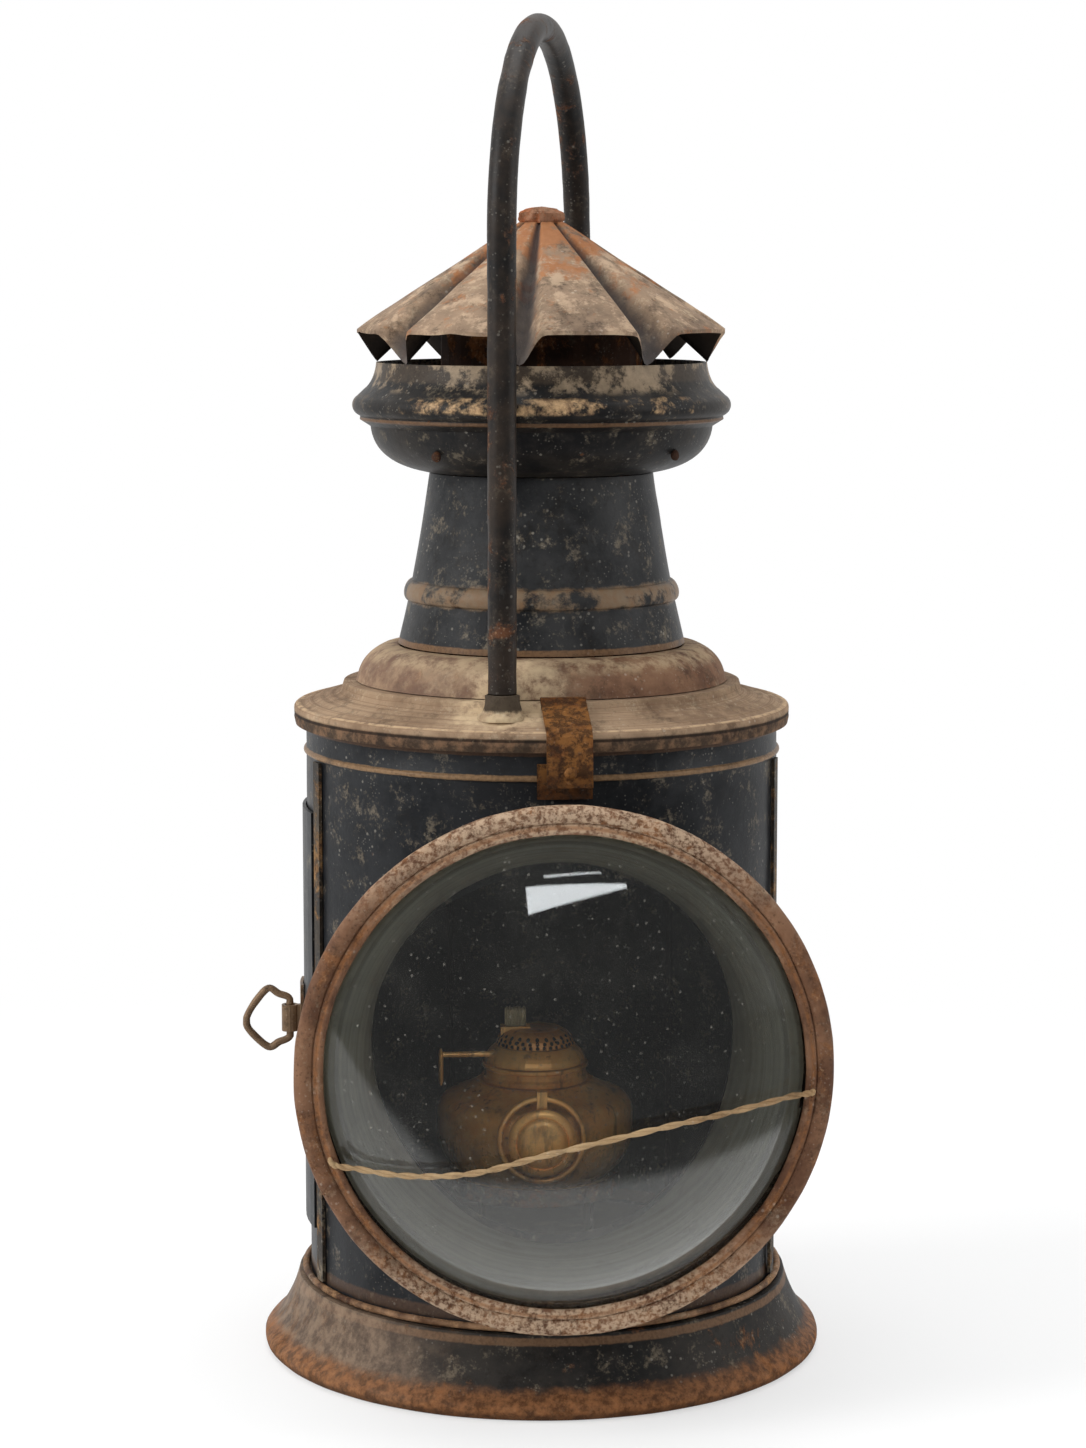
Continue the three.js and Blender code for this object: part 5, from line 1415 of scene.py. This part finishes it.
LAMPS = (("key_left", (-1.35, -0.45, 0.9), 18, 0.8, 0.9),
         ("fill_right", (1.4, -0.35, 0.7), 6, 0.7, 0.9),
         ("overhead", (0.0, 0.1, 1.3), 9, 0.9, 0.9))
for name, place, power, wide, tall in LAMPS:
    lamp = put(name, bpy.data.lights.new(name, "AREA"))
    lamp.data.shape = "RECTANGLE"
    lamp.data.size, lamp.data.size_y = wide, tall
    lamp.data.energy = power
    aimed(lamp, place, (0, 0, 0.2))


def staged(name, corners, faces, material):
    """A flat thing of the studio, which is no part of the lantern."""
    thing = raw_piece(name, corners, faces, welded=False)
    paint(thing, material)
    return thing


glowing = Finish("softbox")
panel = glowing.show(glowing.node("ShaderNodeEmission", {}, {"Color": (0.94, 0.97, 1, 1), "Strength": 10}))
PANEL = [(-0.185, 0.052, 0), (-0.185, -0.052, 0), (0.185, 0.028, 0), (0.185, 0.044, 0)]
STREAK = [(-0.115, 0.088, 0), (-0.115, 0.080, 0), (0.095, 0.085, 0), (0.095, 0.090, 0)]
card = staged("softbox", PANEL + STREAK, [(0, 1, 2, 3), (4, 5, 6, 7)], panel)
aimed(card, (0.105, -0.885, 0.561), (0.003, -0.1, 0.15))
print(len(LAMPS), "lamps and a softbox")

# %% [markdown]
# The floor is a plane that mostly glows white for the camera, so that only the soft shadow under
# the rim shows. For rays that glance off the glass it is dark outside a sheet with a slanted edge,
# which draws the edge of the pale floor in the lower part of the glass.

# %% Floor
floor = Finish("floor")
near = 1 - floor.radius().ramp(230, 560)
plain = floor.node("ShaderNodeBsdfDiffuse", {}, {"Color": (0.93, 0.93, 0.93, 1)})
bright = floor.node("ShaderNodeEmission", {}, {"Color": WHITE, "Strength": 1.0})
black = floor.node("ShaderNodeEmission", {}, {"Color": (0, 0, 0, 1), "Strength": 0.0})
mirrored = floor.ray("Glossy")
share = floor.ray("Camera").most(mirrored).most(floor.ray("Transmission")) * (1 - near * 0.48)
slant = (floor.axis("Y") + 200) * 0.763 - (floor.axis("X") + 70) * 0.647
sheet = floor.axis("Y").ramp(-215, -195).most(slant.ramp(-12, 12))
pale = floor.blend(share, plain, bright)
floor_look = floor.show(floor.blend(mirrored * (1 - sheet) * 0.78, pale, black))
staged("floor", [(-8, -8, 0), (8, -8, 0), (8, 8, 0), (-8, 8, 0)], [(0, 1, 2, 3)], floor_look)
bpy.context.scene.view_settings.view_transform = "Standard"
print("floor ready")
